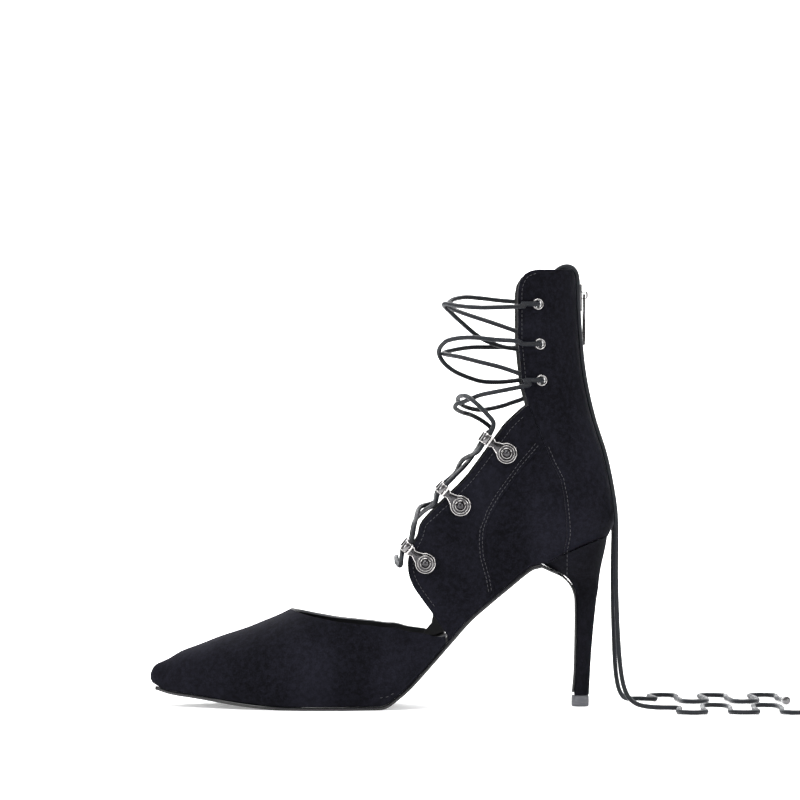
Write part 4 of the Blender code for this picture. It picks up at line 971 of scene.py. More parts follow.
def join(name: str, pieces: Sequence[Thing]) -> Thing:
    """One object from several, with their materials and UV maps.

    Args:
        name: The new piece's name.
        pieces: The pieces, which are used up.

    Returns:
        The new object.
    """
    finishes: list[Any] = []
    shape = bmesh.new()
    for piece in pieces:
        slots = []
        for finish in piece.data.materials:
            if finish not in finishes:
                finishes.append(finish)
            slots.append(finishes.index(finish))
        first = len(shape.faces)
        piece.data.transform(piece.matrix_world)
        shape.from_mesh(piece.data)
        shape.faces.ensure_lookup_table()
        for face in shape.faces[first:]:
            face.material_index = slots[face.material_index] if slots else 0
    mesh = bpy.data.meshes.new(name)
    shape.to_mesh(mesh)
    shape.free()
    for piece in pieces:
        bpy.data.objects.remove(piece)
    return linked(name, mesh, finishes, 45)


def finished(piece: Thing) -> Thing:
    """The piece with its modifiers baked into a plain mesh.

    Args:
        piece: The piece.

    Returns:
        The same object.
    """
    bpy.context.view_layer.update()
    graph = bpy.context.evaluated_depsgraph_get()
    mesh = bpy.data.meshes.new_from_object(piece.evaluated_get(graph))
    piece.modifiers.clear()
    piece.data = mesh
    return piece


def bevelled(piece: Thing, width: float, segments: int = 2, angle: float = 35.0) -> Thing:
    """The piece with its sharp edges rounded.

    Args:
        piece: The piece.
        width: The rounding's width.
        segments: Its steps.
        angle: Angle in degrees over which an edge is rounded.

    Returns:
        The same object.
    """
    modifier = piece.modifiers.new("rounding", "BEVEL")
    modifier.width = width
    modifier.segments = segments
    modifier.limit_method = "ANGLE"
    modifier.angle_limit = math.radians(angle)
    finished(piece)
    piece.data.shade_smooth()
    piece.data.set_sharp_from_angle(angle=math.radians(50))
    return piece


def placed(piece: Thing, origin: Vector, x_axis: Vector, z_axis: Vector) -> Thing:
    """The piece with a local frame baked into its mesh.

    Args:
        piece: The piece.
        origin: The frame's origin.
        x_axis: Its X, roughly.
        z_axis: Its Z.

    Returns:
        The same object.
    """
    z_axis = z_axis.normalized()
    y_axis = z_axis.cross(x_axis).normalized()
    frame = Matrix.Identity(4)
    for column, axis in enumerate((y_axis.cross(z_axis), y_axis, z_axis)):
        for row in range(3):
            frame[row][column] = axis[row]
    frame.translation = origin
    piece.data.transform(frame)
    return piece


def settle(piece: Thing, nodes: Sequence[str], body: str = SHOE) -> Thing:
    """Puts a finished piece in its nodes' place and on its body.

    Args:
        piece: The piece.
        nodes: The nodes that it stands for.
        body: The body that it rides on.

    Returns:
        The same object.
    """
    if nodes:
        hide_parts(*nodes)
    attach(piece, body)
    LOG.info("%s: %d faces", piece.name, len(piece.data.polygons))
    return piece




class Signal:
    """A socket of a shader tree that takes part in Python expressions."""

    def __init__(self, recipe: "Recipe", socket: Any) -> None:
        """Keeps the tree and the socket."""
        self.recipe = recipe
        self.socket = socket

    def _maths(self, operation: str, first: Any, second: Any = None) -> "Signal":
        """One Math node on two values."""
        values = {0: first} if second is None else {0: first, 1: second}
        return self.recipe.node("ShaderNodeMath", {"operation": operation}, values)

    def __add__(self, other: Any) -> "Signal":
        """The sum."""
        return self._maths("ADD", self, other)

    __radd__ = __add__

    def __sub__(self, other: Any) -> "Signal":
        """The difference."""
        return self._maths("SUBTRACT", self, other)

    def __rsub__(self, other: Any) -> "Signal":
        """The difference, from a number."""
        return self._maths("SUBTRACT", other, self)

    def __mul__(self, other: Any) -> "Signal":
        """The product."""
        return self._maths("MULTIPLY", self, other)

    __rmul__ = __mul__

    def sine(self) -> "Signal":
        """The sine of an angle in radians."""
        return self._maths("SINE", self)

    def ramp(self, low: float, high: float, start: float = 0.0, end: float = 1.0) -> "Signal":
        """The value eased from start to end between low and high."""
        settings = {"interpolation_type": "SMOOTHSTEP"}
        return self.recipe.node("ShaderNodeMapRange", settings, {0: self, 1: low, 2: high, 3: start, 4: end})


def grow(tree: Any, kind: str, settings: dict[str, Any], values: dict[Any, Any], output: Any = 0) -> Any:
    """Adds a node to a tree.

    Args:
        tree: The tree.
        kind: The node's type.
        settings: Its own settings, which are set first.
        values: Its sockets' values or the sockets that feed them, by index or name.
        output: The output that is wanted, by index or name.

    Returns:
        The output's socket.
    """
    made = tree.nodes.new(kind)
    for name, value in settings.items():
        setattr(made, name, value)
    for key, value in values.items():
        if isinstance(value, bpy.types.NodeSocket):
            tree.links.new(value, made.inputs[key])
        else:
            made.inputs[key].default_value = value
    return made.outputs[output]


class Recipe:
    """A material's node tree, built from Python expressions."""

    def __init__(self, name: str) -> None:
        """Starts an empty material.

        Args:
            name: The material's name.
        """
        self.material = bpy.data.materials.new(name)
        self.material.use_nodes = True
        self.tree = self.material.node_tree
        self.tree.nodes.clear()

    def node(self, kind: str, settings: dict[str, Any], values: dict[Any, Any], output: Any = 0) -> Signal:
        """Adds a node.

        Args:
            kind: The node's type.
            settings: Its own settings, which are set first.
            values: Its sockets' values or signals, by index or name.
            output: The output that is wanted, by index or name.

        Returns:
            The output as a signal.
        """
        fed = {key: getattr(value, "socket", value) for key, value in values.items()}
        return Signal(self, grow(self.tree, kind, settings, fed, output))

    def place(self, scale: Colour = (1.0, 1.0, 1.0), turn: Colour = (0, 0, 0),
              source: str = "Object") -> Signal:
        """Object or UV coordinates, scaled and turned."""
        base = self.node("ShaderNodeTexCoord", {}, {}, source)
        return self.node("ShaderNodeMapping", {}, {"Vector": base, "Scale": scale, "Rotation": turn})

    def noise(self, place: Signal, scale: float, detail: float = 2.0, roughness: float = 0.5) -> Signal:
        """Soft noise about one half."""
        values = {"Vector": place, "Scale": scale, "Detail": detail, "Roughness": roughness}
        return self.node("ShaderNodeTexNoise", {}, values)

    def cells(self, place: Signal, scale: float, feature: str = "F1") -> Signal:
        """Distance to the nearest cell's middle or edge."""
        given = {"Vector": place, "Scale": scale}
        return self.node("ShaderNodeTexVoronoi", {"feature": feature}, given, "Distance")

    def split(self, place: Signal, axis: str) -> Signal:
        """One axis of a vector."""
        return self.node("ShaderNodeSeparateXYZ", {}, {0: place}, axis)

    def mix(self, factor: Any, first: Any, second: Any) -> Signal:
        """A colour between two."""
        values = {0: factor, 6: rgba(first), 7: rgba(second)}
        return self.node("ShaderNodeMix", {"data_type": "RGBA"}, values, 2)

    def bump(self, height: Signal, distance: float, strength: float = 1.0,
             below: Signal | None = None) -> Signal:
        """A normal from a height in metres' share.

        Args:
            height: The height, from 0 to 1.
            distance: The height's size in metres.
            strength: Share of the effect.
            below: A normal that it lies on.

        Returns:
            The normal.
        """
        values: dict[str, Any] = {"Height": height, "Distance": distance, "Strength": strength}
        if below is not None:
            values["Normal"] = below
        return self.node("ShaderNodeBump", {}, values)

    def finish(self, values: dict[str, Any]) -> Finish:
        """Ends the tree in a Principled shader.

        Args:
            values: The shader's sockets.

        Returns:
            The material.
        """
        shader = self.node("ShaderNodeBsdfPrincipled", {}, values)
        end = self.tree.nodes.new("ShaderNodeOutputMaterial")
        self.tree.links.new(shader.socket, end.inputs["Surface"])
        return self.material


def rgba(colour: Any) -> Any:
    """A colour with its alpha, or a signal as it is.

    Args:
        colour: Three or four numbers, or a signal.

    Returns:
        Four numbers, or the signal.
    """
    if isinstance(colour, Signal) or len(colour) == 4:
        return colour
    return (*colour, 1.0)


@dataclass(frozen=True)
class Suede:
    """Brushed black suede: fine nap, finger marks and a bluish sheen on its crests."""

    name: str = "black_suede"
    dark: Colour = (0.0012, 0.0012, 0.0016)
    light: Colour = (0.0090, 0.0090, 0.0142)
    sheen: float = 0.028
    sheen_tint: Colour = (0.42, 0.44, 0.60)

    def material(self) -> Finish:
        """The finish as nodes.

        Returns:
            The material.
        """
        r = Recipe(self.name)
        place = r.place()
        strokes = r.noise(r.place((1.0, 1.0, 0.42), (0.0, 0.5, 0.0)), 46.0, 3.0, 0.55)
        marks = r.noise(place, 21.0, 2.0, 0.45)
        nap = r.noise(place, 1500.0, 3.0, 0.62)
        fibre = r.noise(r.place((1.0, 1.0, 0.30), (0.35, 0.6, 0.0)), 2600.0, 2.0, 0.6)
        brushed = (strokes.ramp(0.30, 0.72) * 0.5 + marks.ramp(0.30, 0.70) * 0.5).ramp(0.15, 0.95)
        grain = r.noise(place, 430.0, 3.0, 0.65).ramp(0.34, 0.68)
        tone = brushed * 0.36 + grain * 0.36 + nap.ramp(0.30, 0.70) * 0.28
        colour = r.mix(tone, self.dark, self.light)
        low = r.bump(brushed, 0.00022, 0.5)
        height = nap * 0.6 + fibre * 0.4
        values = {
            "Base Color": colour,
            "Roughness": 0.96 - brushed * 0.10,
            "Normal": r.bump(height, 0.00016, 0.75, low),
            "Specular IOR Level": 0.05,
            "Sheen Weight": self.sheen,
            "Sheen Roughness": 0.42,
            "Sheen Tint": rgba(self.sheen_tint),
        }
        return r.finish(values)


@dataclass(frozen=True)
class Leather:
    """Smooth or pebbled lining leather."""

    name: str
    dark: Colour = (0.0045, 0.0045, 0.0052)
    light: Colour = (0.0115, 0.0115, 0.0130)
    grain: float = 900.0
    rough: float = 0.50
    relief: float = 0.00009

    def material(self) -> Finish:
        """The finish as nodes.

        Returns:
            The material.
        """
        r = Recipe(self.name)
        place = r.place()
        pebbles = r.cells(place, self.grain).ramp(0.0, 0.75)
        wear = r.noise(place, 60.0, 3.0)
        fine = r.noise(place, 2400.0, 2.0)
        colour = r.mix(wear.ramp(0.35, 0.7) * 0.7 + pebbles * 0.3, self.dark, self.light)
        values = {
            "Base Color": colour,
            "Roughness": wear.ramp(0.3, 0.7, self.rough - 0.08, self.rough + 0.10),
            "Normal": r.bump(pebbles * 0.75 + fine * 0.25, self.relief, 0.6),
        }
        return r.finish(values)


@dataclass(frozen=True)
class Lacquer:
    """The sole's polished black face, with faint scuffs."""

    name: str = "black_gloss_sole"
    colour: Colour = (0.006, 0.006, 0.007)
    scuffed: Colour = (0.017, 0.017, 0.019)

    def material(self) -> Finish:
        """The finish as nodes.

        Returns:
            The material.
        """
        r = Recipe(self.name)
        place = r.place()
        long_scuffs = r.noise(r.place((0.18, 1.0, 1.0), (0.0, 0.0, 0.1)), 900.0, 2.0, 0.6).ramp(0.60, 0.78)
        patches = r.noise(place, 38.0, 3.0).ramp(0.42, 0.70)
        scuffs = long_scuffs * patches
        values = {
            "Base Color": r.mix(scuffs, self.colour, self.scuffed),
            "Roughness": 0.16 + patches * 0.07 + scuffs * 0.22,
            "Coat Weight": 0.16 - scuffs * 0.1,
            "Specular IOR Level": 0.32,
            "Coat Roughness": 0.10,
            "Normal": r.bump(r.noise(place, 140.0, 2.0) * 0.8 + scuffs * 0.2, 0.00006, 0.4),
        }
        return r.finish(values)


@dataclass(frozen=True)
class Plating:
    """Polished gunmetal plating with hairlines and dull spots."""

    name: str
    colour: Colour = (0.105, 0.102, 0.106)
    worn: Colour = (0.21, 0.205, 0.205)
    rough: float = 0.17

    def material(self) -> Finish:
        """The finish as nodes.

        Returns:
            The material.
        """
        r = Recipe(self.name)
        place = r.place()
        hairlines = r.noise(r.place((1.0, 1.0, 0.12), (0.5, 0.2, 0.0)), 5200.0, 2.0, 0.6)
        dull = r.noise(place, 420.0, 3.0, 0.6).ramp(0.40, 0.72)
        values = {
            "Base Color": r.mix(dull * 0.7 + hairlines * 0.3, self.colour, self.worn),
            "Metallic": 1.0,
            "Roughness": self.rough + dull * 0.12 + hairlines.ramp(0.5, 0.8) * 0.06,
            "Normal": r.bump(hairlines, 0.00001, 0.35),
        }
        return r.finish(values)


@dataclass(frozen=True)
class Braid:
    """Waxed round braid: strands that cross at a slant, read from turns and diameters of length."""

    name: str = "waxed_cord"
    gap: Colour = (0.0016, 0.0018, 0.0026)
    strand: Colour = (0.0085, 0.0105, 0.0155)
    strands: float = 8.0

    def material(self) -> Finish:
        """The finish as nodes.

        Returns:
            The material.
        """
        r = Recipe(self.name)
        place = r.place(source="UV")
        turn = r.split(place, "X") * (math.tau * self.strands / 2)
        run = r.split(place, "Y") * (math.tau * self.strands / 4.6)
        one = (turn + run).sine()
        other = (turn - run).sine()
        crowns = (one * other).ramp(-0.9, 0.9)
        yarn = ((turn * 5.0 + run * 2.0).sine() * 0.5 + 0.5) * 0.35
        wax = r.noise(r.place(), 160.0, 3.0)
        fuzz = r.noise(r.place(), 2600.0, 2.0)
        height = crowns * 0.8 + yarn * 0.2
        shade = (height * 0.75 + wax.ramp(0.3, 0.7) * 0.25).ramp(0.1, 0.95)
        values = {
            "Base Color": r.mix(shade, self.gap, self.strand),
            "Roughness": wax.ramp(0.3, 0.7, 0.34, 0.56),
            "Normal": r.bump(height + fuzz * 0.15, 0.00030, 0.85),
            "Specular IOR Level": 0.22,
            "Sheen Weight": 0.03,
            "Sheen Tint": (0.55, 0.65, 0.85, 1.0),
        }
        return r.finish(values)


@dataclass(frozen=True)
class Weave:
    """Black zip tape, woven in fine ribs."""

    name: str = "zip_tape"
    low: Colour = (0.004, 0.004, 0.005)
    high: Colour = (0.020, 0.020, 0.024)

    def material(self) -> Finish:
        """The finish as nodes.

        Returns:
            The material.
        """
        r = Recipe(self.name)
        place = r.place()
        up = (r.split(place, "Z") * 9000.0).sine() * 0.5 + 0.5
        over = (r.split(place, "Y") * 12000.0).sine() * 0.5 + 0.5
        threads = up * over + (1 - up) * (1 - over)
        values = {
            "Base Color": r.mix(threads * 0.7 + r.noise(place, 900.0) * 0.3, self.low, self.high),
            "Roughness": 0.88,
            "Normal": r.bump(threads, 0.00010, 0.7),
            "Sheen Weight": 0.15,
        }
        return r.finish(values)


@dataclass(frozen=True)
class Rubber:
    """The heel's moulded top piece."""

    name: str = "top_piece_rubber"
    colour: Colour = (0.060, 0.061, 0.070)
    worn: Colour = (0.110, 0.112, 0.124)

    def material(self) -> Finish:
        """The finish as nodes.

        Returns:
            The material.
        """
        r = Recipe(self.name)
        place = r.place()
        grit = r.noise(place, 2600.0, 3.0, 0.6)
        scuff = r.noise(r.place((1.0, 1.0, 3.0)), 320.0, 3.0).ramp(0.45, 0.72)
        values = {
            "Base Color": r.mix(scuff * 0.7 + grit * 0.3, self.colour, self.worn),
            "Roughness": 0.50 + scuff * 0.18,
            "Normal": r.bump(grit, 0.00005, 0.5),
        }
        return r.finish(values)


@dataclass(frozen=True)
class Yarn:
    """Sewing thread, twisted, a little lighter than the suede."""

    name: str = "stitch_thread"
    low: Colour = (0.010, 0.010, 0.013)
    high: Colour = (0.024, 0.024, 0.030)

    def material(self) -> Finish:
        """The finish as nodes.

        Returns:
            The material.
        """
        r = Recipe(self.name)
        place = r.place()
        twist = (r.split(place, "X") * 11000.0 + r.split(place, "Z") * 9000.0).sine() * 0.5 + 0.5
        wear = r.noise(place, 700.0, 2.0)
        values = {
            "Base Color": r.mix(twist * 0.5 + wear * 0.5, self.low, self.high),
            "Roughness": wear.ramp(0.3, 0.7, 0.50, 0.68),
            "Normal": r.bump(twist, 0.00006, 0.6),
        }
        return r.finish(values)


@dataclass(frozen=True)
class Paper:
    """The plain pale floor and backdrop."""

    name: str = "pale_floor"
    tone: float = 0.93

    def material(self) -> Finish:
        """The finish as nodes.

        Returns:
            The material.
        """
        r = Recipe(self.name)
        soft = r.noise(r.place(), 3.0, 2.0)
        warm = (self.tone, self.tone, self.tone)
        cool = (self.tone - 0.01, self.tone - 0.008, self.tone)
        values = {
            "Base Color": r.mix(soft, warm, cool),
            "Roughness": 0.55,
            "Specular IOR Level": 0.25,
            "Emission Color": (1.0, 1.0, 1.0, 1.0),
            "Emission Strength": 0.30,
        }
        return r.finish(values)


@dataclass
class Finishes:
    """Every finish of the shoe."""

    suede: Finish = field(default_factory=Suede().material)
    cover: Finish = field(
        default_factory=Suede(
            "heel_cover_suede", (0.0013, 0.0013, 0.0017), (0.0070, 0.0070, 0.0105)).material)
    edge: Finish = field(default_factory=Leather(
        "cut_edge", (0.014, 0.014, 0.016), (0.040, 0.040, 0.046), 1800.0, 0.62).material)
    lining: Finish = field(default_factory=Leather("black_lining").material)
    sock: Finish = field(default_factory=Leather(
        "insole_sock", (0.010, 0.010, 0.011), (0.022, 0.022, 0.024), 620.0, 0.44).material)
    sole: Finish = field(default_factory=Lacquer().material)
    metal: Finish = field(default_factory=Plating("gunmetal").material)
    # Darker plating: the rivet ball's own, and painted shade on each hook's base, dish and spine inside its
    # rims
    ball: Finish = field(
        default_factory=Plating("dark_rivet", (0.035, 0.034, 0.037), (0.10, 0.097, 0.10), 0.13).material)
    # Lighter plating: the zip's stop and slider bridge, and a painted highlight on the thin rims, rings,
    # lips, collars, beads and borders of hooks, eyelets and pull tab
    bright: Finish = field(
        default_factory=Plating("bright_nickel", (0.36, 0.347, 0.342), (0.52, 0.507, 0.50), 0.13).material)
    teeth: Finish = field(
        default_factory=Plating("zip_teeth", (0.17, 0.165, 0.17), (0.32, 0.31, 0.31), 0.26).material)
    cord: Finish = field(default_factory=Braid().material)
    tape: Finish = field(default_factory=Weave().material)
    rubber: Finish = field(default_factory=Rubber().material)
    thread: Finish = field(default_factory=Yarn().material)


class Side(Enum):
    """The two sides of the shoe."""

    LATERAL = -1
    MEDIAL = 1

    @property
    def word(self) -> str:
        """The side's name in a node."""
        return self.name.lower()


@dataclass
class RowTree:
    """Repeats a small piece along the paths of a mesh, as real geometry."""

    name: str = "repeat_along"
    sockets: dict[str, str] = field(default_factory=dict)
    tree: Any = None
    align: Any = None

    def __post_init__(self) -> None:
        """Builds the node tree with its named inputs."""
        tree = self.tree = bpy.data.node_groups.new(self.name, "GeometryNodeTree")
        for name, kind in ROW_INPUTS:
            made = tree.interface.new_socket(name=name, in_out="INPUT", socket_type=f"NodeSocket{kind}")
            self.sockets[name] = made.identifier
        tree.interface.new_socket(name="Pieces", in_out="OUTPUT", socket_type="NodeSocketGeometry")
        given = tree.nodes.new("NodeGroupInput").outputs
        curve = grow(tree, "GeometryNodeMeshToCurve", {}, {"Mesh": given["Paths"]})
        even = {"Curve": curve, "Length": given["Pitch"]}
        points = grow(tree, "GeometryNodeResampleCurve", {"mode": "LENGTH"}, even)
        tangent = grow(tree, "GeometryNodeInputTangent", {}, {})
        axes = {"axis": "Z", "pivot_axis": "Y"}
        facing = grow(tree, "FunctionNodeAlignRotationToVector", axes, {"Vector": tangent})
        self.align = facing.node
        low, high = (
            grow(tree, "ShaderNodeVectorMath", {"operation": "SCALE"},
                 {0: (way,) * 3, "Scale": given["Tilt"]})
            for way in (-1.0, 1.0)
        )
        spread = {0: low, 1: high, "Seed": given["Seed"]}
        chance = grow(tree, "FunctionNodeRandomValue", {"data_type": "FLOAT_VECTOR"}, spread)
        tilt = grow(tree, "FunctionNodeEulerToRotation", {}, {0: chance})
        turns = {"Rotation": facing, "Rotate By": tilt}
        turn = grow(tree, "FunctionNodeRotateRotation", {"rotation_space": "LOCAL"}, turns)
        piece = grow(tree, "GeometryNodeObjectInfo", {}, {"Object": given["Piece"]}, "Geometry")
        places = {"Points": points, "Instance": piece, "Rotation": turn, "Scale": given["Size"]}
        copies = grow(tree, "GeometryNodeInstanceOnPoints", {}, places)
        real = grow(tree, "GeometryNodeRealizeInstances", {}, {0: copies})
        dressed = grow(tree, "GeometryNodeSetMaterial", {}, {"Geometry": real, "Material": given["Finish"]})
        tree.links.new(dressed, tree.nodes.new("NodeGroupOutput").inputs[0])

    def build(self, name: str, paths: Sequence[Array], piece: Thing, pitch: float, finish: Finish,
              tilt: float = 0.0, seed: int = 7, free: bool = True) -> Thing:
        """Repeats a piece along paths.

        Args:
            name: The new piece's name.
            paths: Polylines.
            piece: The object that is repeated, along Z. It is used up.
            pitch: Distance between copies.
            finish: Their material.
            tilt: Largest random turn, in radians.
            seed: Seed of the random turn.
            free: Whether copies turn to any direction, or only about Y.

        Returns:
            The plain mesh object.
        """
        self.align.pivot_axis = "AUTO" if free else "Y"
        verts: list[Any] = []
        edges: list[tuple[int, int]] = []
        for path in paths:
            first = len(verts)
            verts += [tuple(point) for point in path]
            edges += [(index, index + 1) for index in range(first, len(verts) - 1)]
        mesh = bpy.data.meshes.new(name)
        mesh.from_pydata(verts, edges, [])
        made = linked(name, mesh)
        modifier = made.modifiers.new("repeat", "NODES")
        modifier.node_group = self.tree
        values = {"Piece": piece, "Pitch": pitch, "Size": 1.0, "Tilt": tilt, "Seed": seed, "Finish": finish}
        for key, value in values.items():
            modifier[self.sockets[key]] = value
        finished(made)
        bpy.data.objects.remove(piece)
        made.data.materials.clear()
        made.data.materials.append(finish)
        return made


@dataclass
class Assembly:
    """What every sub-assembly is built on."""

    last: Last
    shaft: Shaft
    finishes: Finishes


@dataclass
class Upper(Assembly):
    """Vamp and quarters, as layered suede walls with a leather lining."""

    spacing: float = 0.00115
    edge_round: float = 0.00042
    edge_drop: float = 0.00030
    vamp_columns: int = 46
    zip_slot: float = 0.0025
    zip_low: float = 1.160
    hole: float = 0.0027
    ripple: float = 0.00009

    def relief(self, places: Array) -> Array:
        """Creases and slack of the quarters' surface.

        Args:
            places: Places of the unrolled wall.

        Returns:
            How far each place is taken in.
        """
        mirrored = np.abs(places)
        found = np.zeros(len(places))
        for *ends, width, depth in CREASES:
            start, end = np.array(ends[:2]), np.array(ends[2:])
            along = end - start
            t = np.clip(((mirrored - start) @ along) / (along @ along), 0, 1)
            gap = np.linalg.norm(mirrored - (start + t[:, None] * along), axis=1)
            fade = np.sin(np.clip(t, 0.02, 0.98) * math.pi) ** 0.6
            found += depth * np.exp(-((gap / width) ** 2)) * fade
        arc, z = places[:, 0], places[:, 1]
        wave = np.sin(arc * 210 + z * 95) * np.sin(z * 160 - arc * 60 + 1.0)
        return found + self.ripple * wave + self.ripple

    def lower_line(self, side: int, start: float, end: float) -> Array:
        """The wall's lower edge between two shares of the length.

        Args:
            side: -1 for the lateral side, 1 for the medial side.
            start: The first share.
            end: The last share.

        Returns:
            Places of the unrolled wall.
        """
        shares = np.linspace(start, end, max(2, int(abs(end - start) * self.last.length / 0.0006)))
        z = self.last.above(shares, self.last.clearance)
        return np.array([(self.shaft.arc(a, b, side), b) for a, b in zip(self.last.along(shares), z)])

    def back_share(self) -> float:
        """The share at which the lower edge meets the back line.

        Returns:
            The share, found by halving.
        """
        low, high = 0.95, 1.02
        for _ in range(40):
            middle = (low + high) / 2
            row = self.shaft.back(self.last.above(middle, self.last.clearance))
            low, high = (middle, high) if self.last.along(middle) < row else (low, middle)
        return low

    def edge_rows(self, side: int) -> tuple[tuple[float, float], ...]:
        """The front edge of a side, from the sole up, with the wing's curve eased.

        Args:
            side: -1 for the lateral side, 1 for the medial side.

        Returns:
            Shares and levels.
        """
        wing = [tuple(float(v) for v in row) for row in smooth(FRONT_EDGE[1:JUNCTION], 0.012)]
        start = FRONT_EDGE[:1] if side < 0 else MEDIAL_EDGE
        return (*start, *wing, *FRONT_EDGE[JUNCTION:])

    def junction(self, side: int) -> int:
        """The row of a side's front edge where wing and cuff meet."""
        return len(self.edge_rows(side)) - len(FRONT_EDGE) + JUNCTION

    def holes(self, grow_by: float = 0.0) -> list[Array]:
        """The eyelets' holes in both sides, as loops.

        Args:
            grow_by: Added to their radius.

        Returns:
            Loops of places.
        """
        ring = circle(self.hole + grow_by, 28)[:, :2]
        loops = []
        for side in (-1, 1):
            for share, level in EYELETS:
                x, z = self.last.spot(share, level)
                loops.append(ring + (self.shaft.arc(x, z, side), z))
        return loops

    def slot(self) -> Array:
        """The zip's slot, down the lateral side and up the medial side.

        Returns:
            The slot's places.
        """
        low, top = float(self.last.height(self.zip_low)) - self.last.clearance, float(self.last.height(2.0))
        right, left = self.zip_slot, -self.zip_slot
        return densify(np.array([(right, top), (right, low), (left, low), (left, top)]), 0.0008)[::-1]

    def sheet(self, name: str, loops: Sequence[Array], outside: float, inside_offset: float,
              finishes: Sequence[Finish]) -> Thing:
        """A layer of the quarters between two depths, with rounded outer edges.

        Args:
            name: The layer's name.
            loops: Its outline and holes on the unrolled wall.
            outside: Offset of its outer face from the wall's outside.
            inside_offset: Offset of its inner face.
            finishes: Materials of face, back and edge.

        Returns:
            The layer.
        """
        places, faces = triangulate(loops, self.spacing)
        relief = self.relief(places)
        near = np.clip(distance_to(places, loops) / self.edge_round, 0, 1)
        drop = self.edge_drop * (1 - np.sqrt(1 - (1 - near) ** 2))
        outer = self.shaft.surface(places, outside - relief - drop)
        inner = self.shaft.surface(places, inside_offset - relief)
        return slab(name, outer, inner, faces, finishes)

    def round_the_back(self, edges: dict[int, Array], ends: dict[int, float]) -> Array:
        """An outline from a lateral edge round the back to a medial edge.

        Args:
            edges: Each side's front edge, from the sole up.
            ends: The share at which each meets the sole.

        Returns:
            A loop of places.
        """
        back = self.back_share()
        left, right = self.lower_line(-1, back, ends[-1]), self.lower_line(1, ends[1], back)
        return clean(np.vstack([left[:-1], edges[-1], self.slot(), edges[1][::-1], right[:-1]]))

    def quarters(self) -> Thing:
        """The quarters: a lined base wall with wing and back panels laid over it.

        Returns:
            The joined piece.
        """
        f = self.finishes
        step = self.last.panel_step
        wing_foot, rear_foot = self.foot(PANEL_FRONT), self.foot(PANEL_BACK)
        firsts = {-1: FRONT_EDGE[0][0], 1: MEDIAL_EDGE[0][0]}
        sides, seams, wings = {}, {}, []
        for side, first in firsts.items():
            rows = self.edge_rows(side)
            turn = self.junction(side)
            share, level = rows[turn]
            sides[side] = self.shaft.trace(rows, side)
            front = self.shaft.trace(rows[: turn + 1], side)
            seam = self.shaft.trace((rows[turn], (0.8258, 1.420), *PANEL_FRONT), side)
            low = self.lower_line(side, wing_foot, first)
            outline = clean(np.vstack([front, trim(seam[1:], self), low[:-1]]))
            wings.append(self.sheet("wing", [outline], 0.0, -step, (f.suede, f.suede, f.edge)))
            up = (*PANEL_BACK, (0.8272, 1.420), (share + 0.0012, level + 0.002), *rows[turn + 1 :])
            seams[side] = trim(self.shaft.trace(up, side)[::-1], self)[::-1]
        base = self.sheet("base", [self.round_the_back(sides, firsts), *self.holes()], -step - 0.00002,
                          -self.last.wall, (f.suede, f.lining, f.edge))
        loops = [self.round_the_back(seams, {-1: rear_foot, 1: rear_foot}), *self.holes(0.0001)]
        counter = self.sheet("counter", loops, 0.0, -step, (f.suede, f.suede, f.edge))
        return join("quarters_upper", (base, *wings, counter))

    def foot(self, rows: Sequence[tuple[float, float]]) -> float:
        """Where a seam's lower end meets the wall's lower edge.

        Args:
            rows: The seam's shares and levels.

        Returns:
            The share of the length.
        """
        line = densify(np.array([self.last.spot(*row) for row in rows]), 0.0003)
        gap = line[:, 1] - self.last.above(self.last.share(line[:, 0]), self.last.clearance)
        return float(self.last.share(line[gap > 0][np.argmin(gap[gap > 0]), 0]))

    def vamp_grid(self, shares: Array) -> tuple[Array, list[Any]]:
        """Points and faces of the vamp's outside, closed over the toes and parted behind the throat.

        Args:
            shares: The rows' places along the length.

        Returns:
            Points, and faces of four corners.
        """
        last = self.last
        part = np.linspace(0, 1, self.vamp_columns + 1)
        rows = []
        points: list[Array] = []
        for share in shares:
            angle = part * float(last.topline_angle(np.array(share)))
            here = np.full(len(part), share)
            left = list(range(len(points), len(points) + len(part)))
            points += list(last.vamp_point(here, angle))
            medial = list(last.vamp_point(here, math.pi - angle))
            right = left
            if share > -0.0008:
                meets = share <= TOPLINE[0][0] + 1e-9
                medial = medial[:-1] if meets else medial
                right = list(range(len(points), len(points) + len(medial)))
                right += left[-1:] if meets else []
                points += medial
            rows.append((left, right))
        faces = []
        for (left, right), (next_left, next_right) in zip(rows, rows[1:]):
            for a, b in ((left, next_left), (right[::-1], next_right[::-1])):
                faces += [(a[i], b[i], b[i + 1], a[i + 1]) for i in range(len(part) - 1)]
        return np.array(points), faces

    def vamp(self) -> Thing:
        """The vamp: one shell over the toes, with rounded edges.

        Returns:
            The piece.
        """
        f = self.finishes
        last = self.last
        throat = TOPLINE[0][0]
        rear = TOPLINE[-1][0] - last.clearance / last.length
        front = -0.0009 + (throat + 0.0009) * np.linspace(0, 1, 90) ** 1.35
        opening = throat + 0.0062 * np.linspace(0, 1, 16)[1:] ** 2.0
        flank = np.linspace(throat + 0.0062, rear, 92)[1:]
        outer, faces = self.vamp_grid(np.concatenate([front, opening, flank]))
        normal = vertex_normals(outer, faces)
        share = last.share(outer[:, 0])
        x, y, z = outer.T
        wave = np.sin(x * 130 + 0.7) * np.sin(z * 190 + y * 70)
        flex = np.exp(-(((x + 0.052) / 0.0045) ** 2)) + 0.7 * np.exp(-(((x + 0.067) / 0.004) ** 2))
        inward = 0.00012 + 0.00012 * wave + 0.00016 * flex * np.clip((z - 0.012) / 0.02, 0, 1)
        outer = outer - normal * (inward * np.clip(share / 0.03, 0, 1))[:, None]
        taper = np.clip(last.vamp[0](share) * last.ball_width / (2.6 * last.wall), 0.12, 1.0)
        inner = outer - normal * (last.wall * taper)[:, None]
        made = slab("vamp_upper", outer, inner, faces, (f.suede, f.lining, f.edge), sharp=50)
        return bevelled(made, 0.00028, 2, 60)


